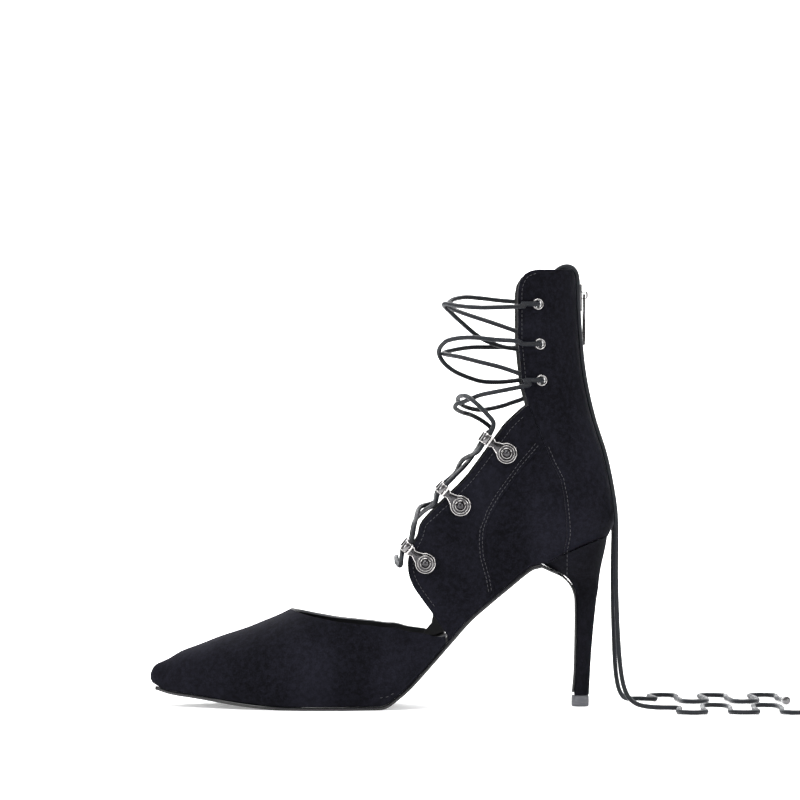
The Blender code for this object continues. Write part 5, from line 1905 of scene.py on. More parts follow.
def clean(loop: Array, gap: float = 0.00025) -> Array:
    """A closed loop with close, even points, none of which lie on each other.

    Args:
        loop: The loop's points.
        gap: The least distance between two of them.

    Returns:
        The loop's new points.
    """
    loop = densify(np.vstack([loop, loop[:1]]), 0.0009)[:-1]
    found = [loop[0]]
    for point in loop[1:]:
        if np.linalg.norm(point - found[-1]) > gap:
            found.append(point)
    while len(found) > 3 and np.linalg.norm(found[0] - found[-1]) <= gap:
        found.pop()
    return np.array(found)


def trim(line: Array, upper: Upper) -> Array:
    """A seam's places down to the wall's lower edge.

    Args:
        line: The seam, from its upper end.
        upper: The upper that it is on.

    Returns:
        The places that are kept.
    """
    last = upper.last
    x = upper.shaft.surface(line)[:, 0]
    low = line[:, 1] <= last.above(last.share(x), last.clearance) + 0.0002
    return line[: int(np.argmax(low))] if low.any() else line


def vertex_normals(points: Array, faces: Sequence[Any]) -> Array:
    """Even normals of a surface of quads, the lateral side's facing out.

    Args:
        points: The surface's points.
        faces: Its faces of four corners.

    Returns:
        One normal for each point.
    """
    normal = np.zeros_like(points)
    quads = np.array(faces)
    cross = np.cross(points[quads[:, 2]] - points[quads[:, 0]], points[quads[:, 3]] - points[quads[:, 1]])
    for column in range(4):
        np.add.at(normal, quads[:, column], cross)
    normal /= np.maximum(np.linalg.norm(normal, axis=1, keepdims=True), 1e-12)
    lateral = points[:, 1] < -0.02
    return -normal if normal[lateral, 1].mean() > 0 else normal


@dataclass
class Bottom(Assembly):
    """Outsole, insole, covered heel and top piece."""

    edge: float = 0.0006
    corner: float = 0.00055
    sock_cup: float = 0.00035
    stem_power: float = 0.9

    def half_widths(self, share: float, at: float | None = None,
                    inset: float | None = None) -> tuple[float, float]:
        """Lateral and medial reach inside the vamp.

        Args:
            share: Place along the length.
            at: Where the vamp's width is read, if not there.
            inset: Distance inside the upper's outside, if not the sole's.

        Returns:
            The two distances from the middle line.
        """
        last = self.last
        inset = self.edge if inset is None else inset
        half = float(last.vamp[0](share if at is None else at)) * last.ball_width * (1 - last.tuck_share)
        half -= inset
        shift = float(last.vamp[1](share)) * last.ball_width
        return half - shift, half + shift

    def sole_widths(self, share: float) -> tuple[float, float]:
        """Lateral and medial reach of the sole, a little inside the upper.

        Args:
            share: Place along the length.

        Returns:
            The two distances from the middle line.
        """
        if share < TOPLINE[-1][0]:
            return self.half_widths(share)
        x, z = float(self.last.along(share)), float(self.last.feather(share))
        half = self.shaft.half_width(x, z) - self.edge
        return half, half

    def section(self, left: float, right: float, low: Vector, high: Vector,
                crown: float = 0.0) -> list[Vector]:
        """A flat bar's section with rounded edges.

        Args:
            left: Reach to the lateral side.
            right: Reach to the medial side.
            low: Lower middle point.
            high: Upper middle point.
            crown: Rise of the upper face's middle.

        Returns:
            A ring of points.
        """
        thick = (high - low).length
        r = min(self.corner, 0.48 * thick)
        up = (high - low).normalized()
        near, far = -left + r, right - r
        ring = []
        corners = ((near, r, 180), (far, r, 270), (far, thick - r, 0), (near, thick - r, 90))
        for index, (y, v, start) in enumerate(corners):
            for angle in np.radians(np.linspace(start, start + 90, 5)):
                ring.append(low + up * (v + r * math.sin(angle)) + Vector((0, y + r * math.cos(angle), 0)))
            if index in (1, 3):
                continue
            a, b, rise = (near, far, 0.0) if index == 0 else (far, near, thick)
            for t in np.linspace(0, 1, 8)[1:-1]:
                lift = crown * (1 - (2 * t - 1) ** 2) if index == 2 else 0.0
                ring.append(low + up * (rise + lift) + Vector((0, a + (b - a) * t, 0)))
        return ring

    def outsole(self) -> Thing:
        """The outsole, with toe spring and arch, and its flap down the heel's breast.

        Returns:
            The piece.
        """
        last = self.last
        first, end = SOLE_LINE[0][0], SOLE_LINE[-1][0]
        toe = first + 0.02 * np.linspace(0, 1, 12) ** 1.8
        shares = np.concatenate([toe, np.linspace(first + 0.022, end, 150)])
        plate = [Vector((float(last.along(s)), 0, float(last.underside(s)))) for s in shares]
        start = [(point.x, point.z) for point in plate[-2:]]
        bend = smooth([*start, *(last.spot(*row) for row in FLAP_LINE)], 0.0011)
        rear = plate[-1]
        flap = [Vector((x, 0, z)) for x, z in bend if x > rear.x + 0.0006 or z < rear.z - 0.002]
        path = plate + flap
        wide = self.sole_widths(end)[0]
        rings = []
        for index, point in enumerate(path):
            before, after = path[max(index - 1, 0)], path[min(index + 1, len(path) - 1)]
            heading = (after - before).normalized()
            if index < len(plate):
                lateral, medial = self.sole_widths(float(shares[index]))
                blunt = math.sqrt(min(1.0, 0.12 + (float(shares[index]) - first) / 0.018))
                lateral, medial = lateral * blunt, medial * (0.75 * blunt + 0.25)
                top = Vector((point.x, 0, float(last.feather(shares[index]))))
            else:
                lateral = medial = 0.86 * float(last.heel_row(float(last.level(point.z)))[2])
                share = (index - len(plate)) / 10
                if share < 1 and lateral < wide:
                    lateral = medial = wide + (lateral - wide) * share
                top = point + last.flap * Vector((-heading.z, 0, heading.x))
            rings.append(self.section(lateral, medial, point, top))
        return loft("outsole_plate", rings, (self.finishes.sole,))

    def insole(self) -> Thing:
        """The insole under its leather sock, slightly cupped.

        Returns:
            The piece.
        """
        last = self.last
        gap = last.wall * 1.15 + 0.0006
        end = (float(self.shaft.back(last.seat(0.98))) - gap + last.length / 2) / last.length - 0.004
        heel = end - (end - 0.90) * np.cos(np.linspace(0, math.pi / 2, 26))[1:]
        rings = []
        for share in np.concatenate([np.linspace(0.034, 0.90, 120), heel]):
            x = float(last.along(share))
            low, high = (float(last.above(share, last.clearance + thick)) for thick in (0.0, last.insole))
            if share < TOPLINE[-1][0]:
                lateral, medial = self.half_widths(share, share - last.wall / last.length, gap)
            else:
                lateral = medial = self.inner_half(x, low, gap)
            ends = Vector((x, 0, low)), Vector((x, 0, high))
            rings.append(self.section(lateral, medial, *ends, -self.sock_cup))
        return loft("insole_sock", rings, (self.finishes.sock,))

    def inner_half(self, x: float, z: float, inset: float) -> float:
        """Half the clear width inside the quarters.

        Args:
            x: Place along the shoe.
            z: Height.
            inset: Distance inside the wall's outside.

        Returns:
            The half width.
        """
        heights = self.shaft.heights
        line = self.shaft.grid[min(int((z - heights[0]) / (heights[1] - heights[0])), self.shaft.rows - 1)]
        back, front = line[0, 0], line[-1, 0]
        middle, half = line[int(np.argmax(line[:, 1])), :2]
        reach = (back - middle if x > middle else middle - front) - inset
        offset = min(abs(x - middle) / reach, 1.0)
        power = self.last.plan_roundness
        return max((half - inset) * (1 - offset**power) ** (1 / power), 0.0015)

    def breast(self) -> tuple[Array, Array]:
        """The heel's front face behind the flap.

        Returns:
            Heights in rising order, and the x at each.
        """
        last = self.last
        arch = (float(last.along(SOLE_LINE[-1][0])), float(last.feather(SOLE_LINE[-1][0])) - last.flap)
        line = smooth([arch, *(last.spot(*row) for row in FLAP_LINE)], 0.0008)
        moved = shifted(line, last.flap + last.clearance)
        moved = moved[np.argsort(moved[:, 1])]
        return moved[:, 1], moved[:, 0]

    def plan(self, level: float, count: int, scale: float = 1.0) -> tuple[Array, Array]:
        """The heel's plan at a level.

        Args:
            level: The level.
            count: Points round it.
            scale: Size against the heel's own.

        Returns:
            The points' x and y.
        """
        back, front, half = self.last.heel_row(level)
        turn = np.linspace(0, 2 * math.pi, count, endpoint=False)
        x = (back + front) / 2 + rounded(np.cos(turn), self.stem_power) * (back - front) / 2 * scale
        return x, rounded(np.sin(turn), self.stem_power) * half * scale

    def heel(self) -> Thing:
        """The covered heel: a cup under the seat that runs down into a slim stem.

        Returns:
            The piece.
        """
        last = self.last
        z_line, x_line = self.breast()
        foot = HEEL_SECTIONS[0][0]
        rings = []
        for level in np.concatenate([np.linspace(foot, 0.60, 70), np.linspace(0.605, 1.06, 110)]):
            z = float(last.height(level)) if level > foot + 0.0001 else last.top_piece + last.clearance
            x, y = self.plan(level, 72)
            x = np.maximum(x, np.interp(z, z_line, x_line))
            top = last.seat(np.maximum(last.share(x), SEAT_LINE[0][0]))
            rings.append(np.stack([x, y, np.minimum(z, top)], axis=1))
        return loft("heel_cover", rings, (self.finishes.cover,), sharp=48)

    def top_piece(self) -> Thing:
        """The heel's moulded top piece, flat on the floor.

        Returns:
            The piece.
        """
        rings = []
        for z, scale in (*TOP_PIECE_ROWS, (self.last.top_piece, 0.93)):
            x, y = self.plan(HEEL_SECTIONS[0][0], 56, scale)
            rings.append(np.stack([x, y, np.full(56, z)], axis=1))
        return loft("top_piece_moulding", rings, (self.finishes.rubber,), sharp=50)


@dataclass
class Hook(Assembly):
    """A lace hook on a wing: a double-rimmed plate, a pinched neck and a rolled barrel, with its rivet."""

    number: int
    side: Side
    disc: float = 0.0103
    reach: float = 0.0122
    thickness: float = 0.0009
    barrel_bore: float = 0.0032
    barrel_wall: float = 0.0007
    barrel_length: float = 0.0052
    rivet: float = 0.0046
    rim_wire: float = 0.00030
    ring_wire: float = 0.00024
    lip_wire: float = 0.00026

    def frame(self) -> tuple[Vector, Vector, Vector]:
        """The hook's seat, its neck's direction and the way that it faces.

        Returns:
            The three vectors.
        """
        share, level, rise = HOOKS[self.number - 1]
        side = self.side.value
        centre, normal = self.shaft.frame(*self.last.spot(share, level), side)
        turn = math.radians(rise)
        neck = flat(Vector((-math.cos(turn), 0, math.sin(turn))), normal)
        across = normal.cross(neck)
        lift = 0.0
        for a in np.linspace(0, 2 * math.pi, 12, endpoint=False):
            rim = centre + self.disc / 2 * (math.cos(a) * neck + math.sin(a) * across)
            under = Vector((rim.x, side * self.shaft.half_width(rim.x, rim.z), rim.z))
            lift = max(lift, (under - centre).dot(normal))
        return centre + (lift + 1.5 * self.last.clearance) * normal, neck, normal

    def barrel(self) -> tuple[Vector, Vector]:
        """The barrel's place.

        Returns:
            Its middle, and its axis, which points up.
        """
        seat, neck, normal = self.frame()
        axis = normal.cross(neck).normalized()
        if axis.z < 0:
            axis.negate()
        drop = self.barrel_bore / 2 + self.barrel_wall - self.thickness
        return seat + self.reach * neck - drop * normal, axis

    def outline(self, radius: float, neck: float, flare: float, end: float, z: float) -> Array:
        """A teardrop round the disc that pinches to a neck and flares to its end.

        Args:
            radius: The disc's radius.
            neck: Half the neck's width.
            flare: Half the end's width.
            end: The end's distance from the disc's middle.
            z: Height of the points.

        Returns:
            Points of the closed outline.
        """
        turn = np.radians(np.linspace(38, 322, 34))
        ring = np.stack([radius * np.cos(turn), radius * np.sin(turn)], axis=1)
        knots = ((1.28 * radius, -neck - 0.0006), (1.62 * radius, -neck), (end - 0.0016, -flare + 0.0004))
        edge = smooth([ring[-1], *knots, (end, -flare)], 0.0006)
        points = np.vstack([ring[:-1], edge, edge[:0:-1] * (1, -1)])
        return np.column_stack([points, np.full(len(points), z)])

    def roll(self) -> list[Thing]:
        """The rolled barrel with its two lips, which carry a painted highlight in lighter plating.

        Returns:
            Three pieces in the hook's own frame.
        """
        bore, half = self.barrel_bore / 2, self.barrel_length / 2
        outer = bore + self.barrel_wall
        drop = outer - self.thickness
        corners = ((bore, 0.0002), (bore + 0.0002, 0.0), (outer - 0.00022, 0.0), (outer, 0.00022))
        section = [(r, trim_back - half) for r, trim_back in corners]
        section += [(r, half - trim_back) for r, trim_back in reversed(corners)]
        pieces = [lathe("roll", section, 30, (self.finishes.metal,), True)]
        placed(pieces[0], Vector((self.reach, 0, -drop)), Vector((1, 0, 0)), Vector((0, 1, 0)))
        lip = circle(outer - 0.0002, 30)[:, (0, 2, 1)]
        # The lips' lighter plating is a painted highlight
        for way in (-1, 1):
            ring = lip + (self.reach, way * (half - 0.0002), -drop)
            pieces.append(wire(ring, self.lip_wire, self.finishes.bright, 8, (0, 1, 0)))
        return pieces

    def plate(self) -> Thing:
        """The hook itself.

        Returns:
            The joined piece.
        """
        f = self.finishes
        radius = self.disc / 2
        end = self.reach - self.barrel_bore / 2 - 0.0002
        rings = [self.outline(radius - 0.0004, 0.00125, 0.0024, end, z) for z in (0.00005, 0.00055)]
        # Base, dish and spine take the darker plating, painted shade on the plate inside its rims; rim,
        # inner ring and end bar take the lighter plating, a painted highlight
        base = bevelled(loft("base", rings, (f.ball,)), 0.00012, 2)
        edge = self.outline(radius - 0.00030, 0.0014, 0.0025, end, 0.00070)
        rim = wire(edge, self.rim_wire, f.bright, 10)
        ring = wire(circle(0.72 * radius, 48, 0.0008), self.ring_wire, f.bright, 10)
        hollow = ((0.0011, 0.00058), (0.66 * radius, 0.00062), (0.66 * radius, 0.0005), (0.0011, 0.0005))
        dish = lathe("dish", hollow, 40, (f.ball,), True)
        middle = ((1.10 * radius, 0, 0.0007), (1.5 * radius, 0, 0.00075), (end, 0, 0.00085))
        spine = tube("spine", smooth(middle, 0.0008), 0.00028, (f.ball,), 8, lead=UP)
        across = np.array([(end - 0.0004, t, 0.0009) for t in np.linspace(-0.0025, 0.0025, 12)])
        bar = tube("bar", across, 0.0005, (f.bright,), 10, lead=UP)
        name = f"hook_plate_{self.side.word}_{self.number}"
        return placed(join(name, (base, rim, ring, dish, spine, bar, *self.roll())), *self.frame())

    def pin(self) -> Thing:
        """The ball rivet with its collar.

        Returns:
            The joined piece.
        """
        f = self.finishes
        head = self.rivet / 2
        floor = self.thickness + self.last.clearance
        under = floor - 0.0002
        profile = [(0.0001, 0.0), (0.001, 0.0), (0.001, under), (0.92 * head, under), (head, floor)]
        for a in np.radians(np.linspace(0, 84, 13)):
            profile.append((0.94 * head * math.cos(a), floor + 0.00025 + 1.02 * head * math.sin(a)))
        ball = lathe("ball", profile, 36, (f.ball,))
        # The collar's lighter plating is a painted highlight round the ball
        collar = wire(circle(head + 0.00012, 40, floor), self.lip_wire, f.bright)
        return placed(join(f"rivet_ball_{self.side.word}_{self.number}", (ball, collar)), *self.frame())


@dataclass
class Eyelet(Assembly):
    """A polished eyelet through the cuff."""

    number: int
    side: Side
    bore: float = 0.0036
    flange: float = 0.0056
    rim: float = 0.0006
    wall: float = 0.0007
    bead_wire: float = 0.00025

    def frame(self) -> tuple[Vector, Vector]:
        """The eyelet's middle on the cuff's outside, and the way that it faces."""
        return self.shaft.frame(*self.last.spot(*EYELETS[self.number - 1]), self.side.value)

    def ring(self) -> Thing:
        """The eyelet with its rolled flange, tube and turned back end.

        Returns:
            The joined piece.
        """
        bore, flange = self.bore / 2, self.flange / 2
        outer, back = bore + self.wall, -self.last.wall
        low = self.last.clearance * 0.5
        profile = [(bore + 0.00025, low + self.rim * 0.72)]
        for a in np.radians(np.linspace(120, -30, 9)):
            rise = low + 0.0001 + self.rim * 0.9 * max(math.sin(a), 0)
            profile.append(((bore + flange) / 2 + 0.00045 * math.cos(a), rise))
        profile += [(flange, low), (outer, low - 0.0001), (outer, back - 0.0001)]
        profile += [(outer + 0.0003, back - 0.0002), (outer, back - 0.0004), (bore + 0.0001, back - 0.0003)]
        profile += [(bore, back), (bore, low + 0.0003)]
        barrel = lathe("barrel", profile, 40, (self.finishes.metal,), True)
        # The bead on the flange's crest is in lighter plating: a painted highlight
        crest = circle(flange - 0.00034, 40, low + 0.00046)
        bead = wire(crest, self.bead_wire, self.finishes.bright)
        centre, normal = self.frame()
        made = join(f"eyelet_ring_{self.side.word}_{self.number}", (barrel, bead))
        return placed(made, centre, Vector((1, 0, 0)), normal)


def in_view(across: float, down: float, y: float) -> Vector:
    """The point that the camera sees at a pixel.

    Args:
        across: Pixels from the left.
        down: Pixels from the top.
        y: Distance from the shoe's middle, in mm.

    Returns:
        The point in metres.
    """
    scale = PIXEL * (CAMERA_DISTANCE + y / 1000) / CAMERA_DISTANCE
    return Vector((CAMERA_X + (across - 400) * scale, y / 1000, CAMERA_Z - (down - 400) * scale))


@dataclass
class Lacing(Assembly):
    """The waxed lace over the hooks and through the eyelets."""

    diameter: float = 0.0024
    step: float = 0.0007
    lift: float = 0.56

    def hook(self, number: int, side: int) -> tuple[Vector, Vector]:
        """Where the lace enters and leaves a hook's barrel, going up.

        Args:
            number: The hook, counted from the lowest.
            side: -1 for the lateral side, 1 for the medial side.

        Returns:
            The two points.
        """
        hook = Hook(self.last, self.shaft, self.finishes, number, Side(side))
        centre, axis = hook.barrel()
        reach = hook.barrel_length / 2 + 0.0006
        return centre - reach * axis, centre + reach * axis

    def point(self, row: tuple[float, float, float], side: int, lift: float = 0.0) -> Vector:
        """A point of the lower crossings.

        Args:
            row: Share of the length, share of half the cuff's width, and level.
            side: -1 for the lateral side, 1 for the medial side.
            lift: How far it is pushed out to the front.

        Returns:
            The point.
        """
        share, across, level = row
        x, z = self.last.spot(share, level)
        return Vector((x, side * across * self.last.cuff_width / 2, z)) + lift * Vector((-0.75, 0, 0.66))

    def eyelet(self, number: int, side: int) -> tuple[Vector, Vector, Vector]:
        """An eyelet's middle, the way that it faces, and the way to the front along the cuff."""
        centre, normal = Eyelet(self.last, self.shaft, self.finishes, number, Side(side)).frame()
        return centre, normal, flat(Vector((-1, 0, 0)), normal)

    def into(self, number: int, side: int) -> list[Vector]:
        """The lace's way from outside into an eyelet's bore.

        Args:
            number: The eyelet, counted from the top.
            side: -1 for the lateral side, 1 for the medial side.

        Returns:
            Points of the way.
        """
        centre, normal, front = self.eyelet(number, side)
        before, facing = self.shaft.frame(centre.x - 0.0085, centre.z, side)
        return [
            before + (self.diameter / 2 + 0.0004) * facing,
            centre + 0.0021 * normal + 0.0026 * front,
            centre + 0.0010 * normal + 0.0004 * front,
            centre - 0.0012 * normal,
        ]

    def out_of(self, number: int, side: int) -> list[Vector]:
        """The lace's way from an eyelet's bore to the inside of the cuff."""
        centre, normal, front = self.eyelet(number, side)
        deep = centre - 0.0030 * normal + 0.0016 * front
        return [centre - 0.0004 * normal, centre - 0.0018 * normal, deep]

    def strand(self, points: Sequence[Vector]) -> Thing:
        """One round strand through points."""
        path = smooth([tuple(point) for point in points], self.step)
        return tube("strand", path, self.diameter / 2, (self.finishes.cord,), 12)

    def hook_strand(self, side: int) -> list[Vector]:
        """The lace from a lowest hook up through the other two to an eyelet's bore.

        Args:
            side: The side of the lowest hook.

        Returns:
            Points of the strand.
        """
        lift = (1 if side < 0 else -1) * self.lift * self.diameter
        points = [self.hook(1, side)[1]] if side > 0 else list(self.hook(1, side))
        at = side
        for number, route in ((2, CROSSING_1), (3, CROSSING_2)):
            points += [self.point(route[0], at), self.point(route[1], at, lift), self.point(route[2], -at)]
            at = -at
            points += self.hook(number, at)
        return points + [in_view(*row) for row in STRANDS["hooks"][at]] + self.into(3, -at)

    def over_hooks(self) -> Thing:
        """The bar under the lowest hooks and the crossings above it.

        Returns:
            The joined strands.
        """
        low, high = self.hook(1, 1)
        middle = (low + high) / 2
        bar = [self.point(row, 1) for row in BAR_ROUTE]
        bar += [self.point(row, -1) for row in reversed(BAR_ROUTE[:-1])]
        first = self.strand([middle, low, *bar, *self.hook_strand(-1)])
        second = self.strand([middle + 0.2 * (high - middle), *self.hook_strand(1)])
        return join("lace_over_hooks", (first, second))

    def loop(self, part: str, start: int) -> Thing:
        """A pair of strands from one row of eyelets, round the front, to the next.

        Args:
            part: The pair's name.
            start: The row that they come out of, counted from the top.

        Returns:
            The joined strands.
        """
        pieces = []
        for side, row in STRANDS[part].items():
            points = self.out_of(start, side) + [in_view(*place) for place in row]
            points += self.into(start - 1, -side)
            if start == 2:
                points.append(Vector((0.0751, -side * 0.0270, 0.2001)))
            pieces.append(self.strand(points))
        return join(f"lace_{part}", pieces)


@dataclass
class Tie(Assembly):
    """A free end of the lace, down the back of the shoe and along the floor, with its metal tip."""

    side: Side
    diameter: float = 0.0024
    tip_diameter: float = 0.004
    tip_length: float = 0.007

    def route(self) -> Array:
        """Closely spaced points of the tie.

        Returns:
            The points.
        """
        path = smooth(TIE_ROUTES[self.side.value], 0.0012)
        for _ in range(8):
            path[1:-1] = 0.5 * path[1:-1] + 0.25 * (path[:-2] + path[2:])
        return path

    def tip(self, end: Vector, heading: Vector) -> Thing:
        """The metal tip with its two crimped grooves.

        Args:
            end: The cord's end.
            heading: The way that it points.

        Returns:
            The piece.
        """
        r, long = self.tip_diameter / 2, self.tip_length
        heading = Vector((heading.x, heading.y, 0)).normalized()
        start = end + 0.0001 * heading
        start.z = r + 0.0001
        profile = [(wide * r, z) for wide, z in TIP_MOUTH]
        profile += [(wide * r, long - back) for wide, back in TIP_END]
        made = lathe(f"lace_tip_{self.side.word}", profile, 36, (self.finishes.metal,))
        return placed(made, start, Vector((0, 0, 1)), heading)

    def build(self) -> None:
        """The cord and its tip."""
        path = self.route()
        word = self.side.word
        cord = tube(f"tie_cord_{word}", path, self.diameter / 2, (self.finishes.cord,), 12)
        tip = self.tip(Vector(path[-1]), Vector(path[-1] - path[-3]))
        tip = settle(tip, (f"tie_tip_{word}",))
        settle(cord, (f"tie_{word}",))
        length = float(np.linalg.norm(np.diff(path, axis=0), axis=1).sum())
        LOG.info("%s: %.3f m", cord.name, length)
        points = [tuple(float(v) for v in point) for point in path]
        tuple(points[0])


@dataclass
class Zip(Assembly):
    """The back zip: tape, teeth, stop, slider and pull tab."""

    rows: RowTree
    width: float = 0.0044
    proud: float = 0.0004
    bottom: float = 1.176
    stop_level: float = 1.160
    top: float = 1.975
    slider_level: float = 1.8996
    slider_width: float = 0.0062
    slider_height: float = 0.0135
    slider_thickness: float = 0.0016
    bridge_width: float = 0.0016
    bridge_height: float = 0.0043
    bridge_depth: float = 0.003
    bridge_bar: float = 0.001
    bridge_rise: float = 0.0058
    pull_length: float = 0.025
    pull_width: float = 0.0046
    pull_thickness: float = 0.0012
    pitch: float = 0.00128
    tooth: Colour = (0.0013, 0.0023, 0.00082)
    rounding: float = 0.00022

    def tape(self, heights: Array) -> Thing:
        """The woven tape.

        Args:
            heights: Heights of its rows.

        Returns:
            The piece.
        """
        half = self.width / 2
        section = [(half, -0.0004), (half - 0.0002, -0.00022), (0.0007, -0.00022), (0.0004, -0.0003)]
        section += [(-y, out) for y, out in reversed(section)]
        section = [(-half, -0.0015), (half, -0.0015), *section]
        rings = [[(float(self.shaft.back(z)) + out, y, z) for y, out in section] for z in heights]
        return loft("tape", rings, (self.finishes.tape,))

    def chain(self) -> Thing:
        """The woven tape with its two rows of teeth.

        Returns:
            The joined piece.
        """
        f = self.finishes
        low, high = (float(self.last.height(level)) for level in (self.bottom, self.top))
        pieces = [self.tape(np.linspace(low, high, 110))]
        for side, start in ((-1, 0.0), (1, self.pitch / 2)):
            tooth = bmesh.new()
            bmesh.ops.create_cube(tooth, size=1.0)
            bmesh.ops.scale(tooth, vec=self.tooth, verts=tooth.verts)
            bmesh.ops.bevel(
                tooth, geom=tooth.edges[:], offset=self.rounding, segments=2, affect="EDGES", profile=0.5)
            heights = np.linspace(low + 0.0006 + start, high - 0.0006, 90)
            backs = self.shaft.back(heights) - 0.00012
            path = np.stack([backs, np.full(90, side * 0.00062), heights], axis=1)
            piece = from_bmesh("tooth", tooth, (f.teeth,))
            pieces.append(self.rows.build("teeth", [path], piece, self.pitch, f.teeth, free=False))
        return join("zip_teeth_and_tape", pieces)

    def stop(self) -> Thing:
        """The stop at the lower end, in the lighter plating.

        Returns:
            The piece.
        """
        half = self.width / 2 - 0.0001
        wall, proud = self.last.wall, self.proud + 0.0008
        low = float(self.last.height(self.stop_level))
        high = float(self.last.height(self.bottom)) - self.last.clearance
        x0, x1 = float(self.shaft.back(low)), float(self.shaft.back(high))
        outline = [(x0 - wall, low), (x0 + 0.6 * proud, low), ((x0 + x1) / 2 + proud, (low + high) / 2),
                   (x1 + 0.6 * proud, high), (x1 - wall, high)]
        rings = [[(x, y, z) for x, z in outline] for y in (-half, half)]
        return bevelled(loft("zip_end_stop", rings, (self.finishes.bright,)), self.rounding, 3)

    def face(self) -> tuple[float, float]:
        """The slider's place.

        Returns:
            The x of its outer face and the z of its lower end.
        """
        low = float(self.last.height(self.slider_level)) - self.slider_height / 2
        back = max(float(self.shaft.back(low + part * self.slider_height)) for part in (0, 0.5, 1))
        return back + self.proud + self.last.clearance + self.slider_thickness, low

    def hinge(self) -> Vector:
        """The axis of the pull tab.

        Returns:
            A place on it, in the middle plane.
        """
        face, low = self.face()
        x = face + (self.bridge_depth - self.bridge_bar) / 2
        return Vector((x, 0, low + self.bridge_rise + self.bridge_height / 2))

    def slider(self) -> Thing:
        """The slider's shield-shaped plate with its bridge.

        Returns:
            The joined piece.
        """
        f = self.finishes
        face, low = self.face()
        back, half = face - self.slider_thickness, self.slider_width / 2
        side = [(1, back), (1, face - 0.0005), (0.80, face - 0.00012), (0.45, face)]
        section = [(-1, back), *side, *((-y, x) for y, x in side[:0:-1])]
        rings = []
        for part, wide in SLIDER_ROWS:
            z = low + part * self.slider_height
            rings.append([(x, y * half * wide, z) for y, x in section])
        plate = bevelled(loft("plate", rings, (f.metal,)), self.rounding, 2)
        r = self.bridge_bar / 2
        middle, tall = self.hinge().z, self.bridge_height / 2 - r
        out = face + self.bridge_depth - r
        corner = 0.0008
        bow = [(face - 0.0003, tall), (out - corner, tall)]
        bow += [(out - 0.2 * corner, tall - 0.2 * corner), (out, tall - corner)]
        line = [(x, 0, middle - z) for x, z in bow] + [(x, 0, middle + z) for x, z in reversed(bow)]
        bridge = tube("bridge", smooth(line, 0.00025), r, (f.bright,), 14, lead=(0, 1, 0))
        bridge.data.transform(Matrix.Diagonal((1, self.bridge_width / (2 * r), 1, 1)))
        return join("zip_slider_body", (plate, bridge))

    def pull(self) -> Thing:
        """The long pull tab, with a window for the bridge and a raised border.

        Returns:
            The joined piece.
        """
        f = self.finishes
        hinge = self.hinge()
        half, wide, long = self.pull_thickness / 2, self.pull_width / 2, self.pull_length
        end = -long + 0.0018
        right = [(wide - 0.0005, half), *((wide - inset, z) for inset, z in PULL_EDGE), (wide, end)]
        turn = np.radians(np.linspace(-8, -90, 12))
        arc = np.stack([wide * np.cos(turn), end + 0.0018 * np.sin(turn)], axis=1)
        outer = np.vstack([smooth(right, 0.0004), arc])
        loop = clean(np.vstack([outer, outer[-2::-1] * (-1, 1)]), 0.00012)
        inner = self.bridge_width / 2 + self.last.clearance
        x, y = circle(1.0, 36)[:, :2].T
        window = np.stack([inner * rounded(x, 0.5), -0.0019 + 0.0013 * rounded(y, 0.5)], axis=1)
        places, faces = triangulate([loop, window], 0.0008)
        front = np.column_stack([np.full(len(places), hinge.x + half), places + (0, hinge.z)])
        plate = slab("plate", front, front - (2 * half, 0, 0), faces, (f.metal,) * 3)
        pieces = [bevelled(plate, self.rounding, 2, 50)]
        x, y = circle(1.0, 60)[:, :2].T
        # The raised border's wires are in lighter plating: a painted highlight along it
        for way, middle, tall in ((-1, 0.0161, 0.0075), (1, 0.0148, 0.0088)):
            z = hinge.z - middle + tall * rounded(y, 0.8)
            across = (wide - 0.0010) * rounded(x, 0.55)
            path = np.stack([np.full(60, hinge.x + way * half), across, z], axis=1)
            pieces.append(wire(path, self.rounding, f.bright, 6, (1, 0, 0)))
        return join("zip_pull_tab", pieces)


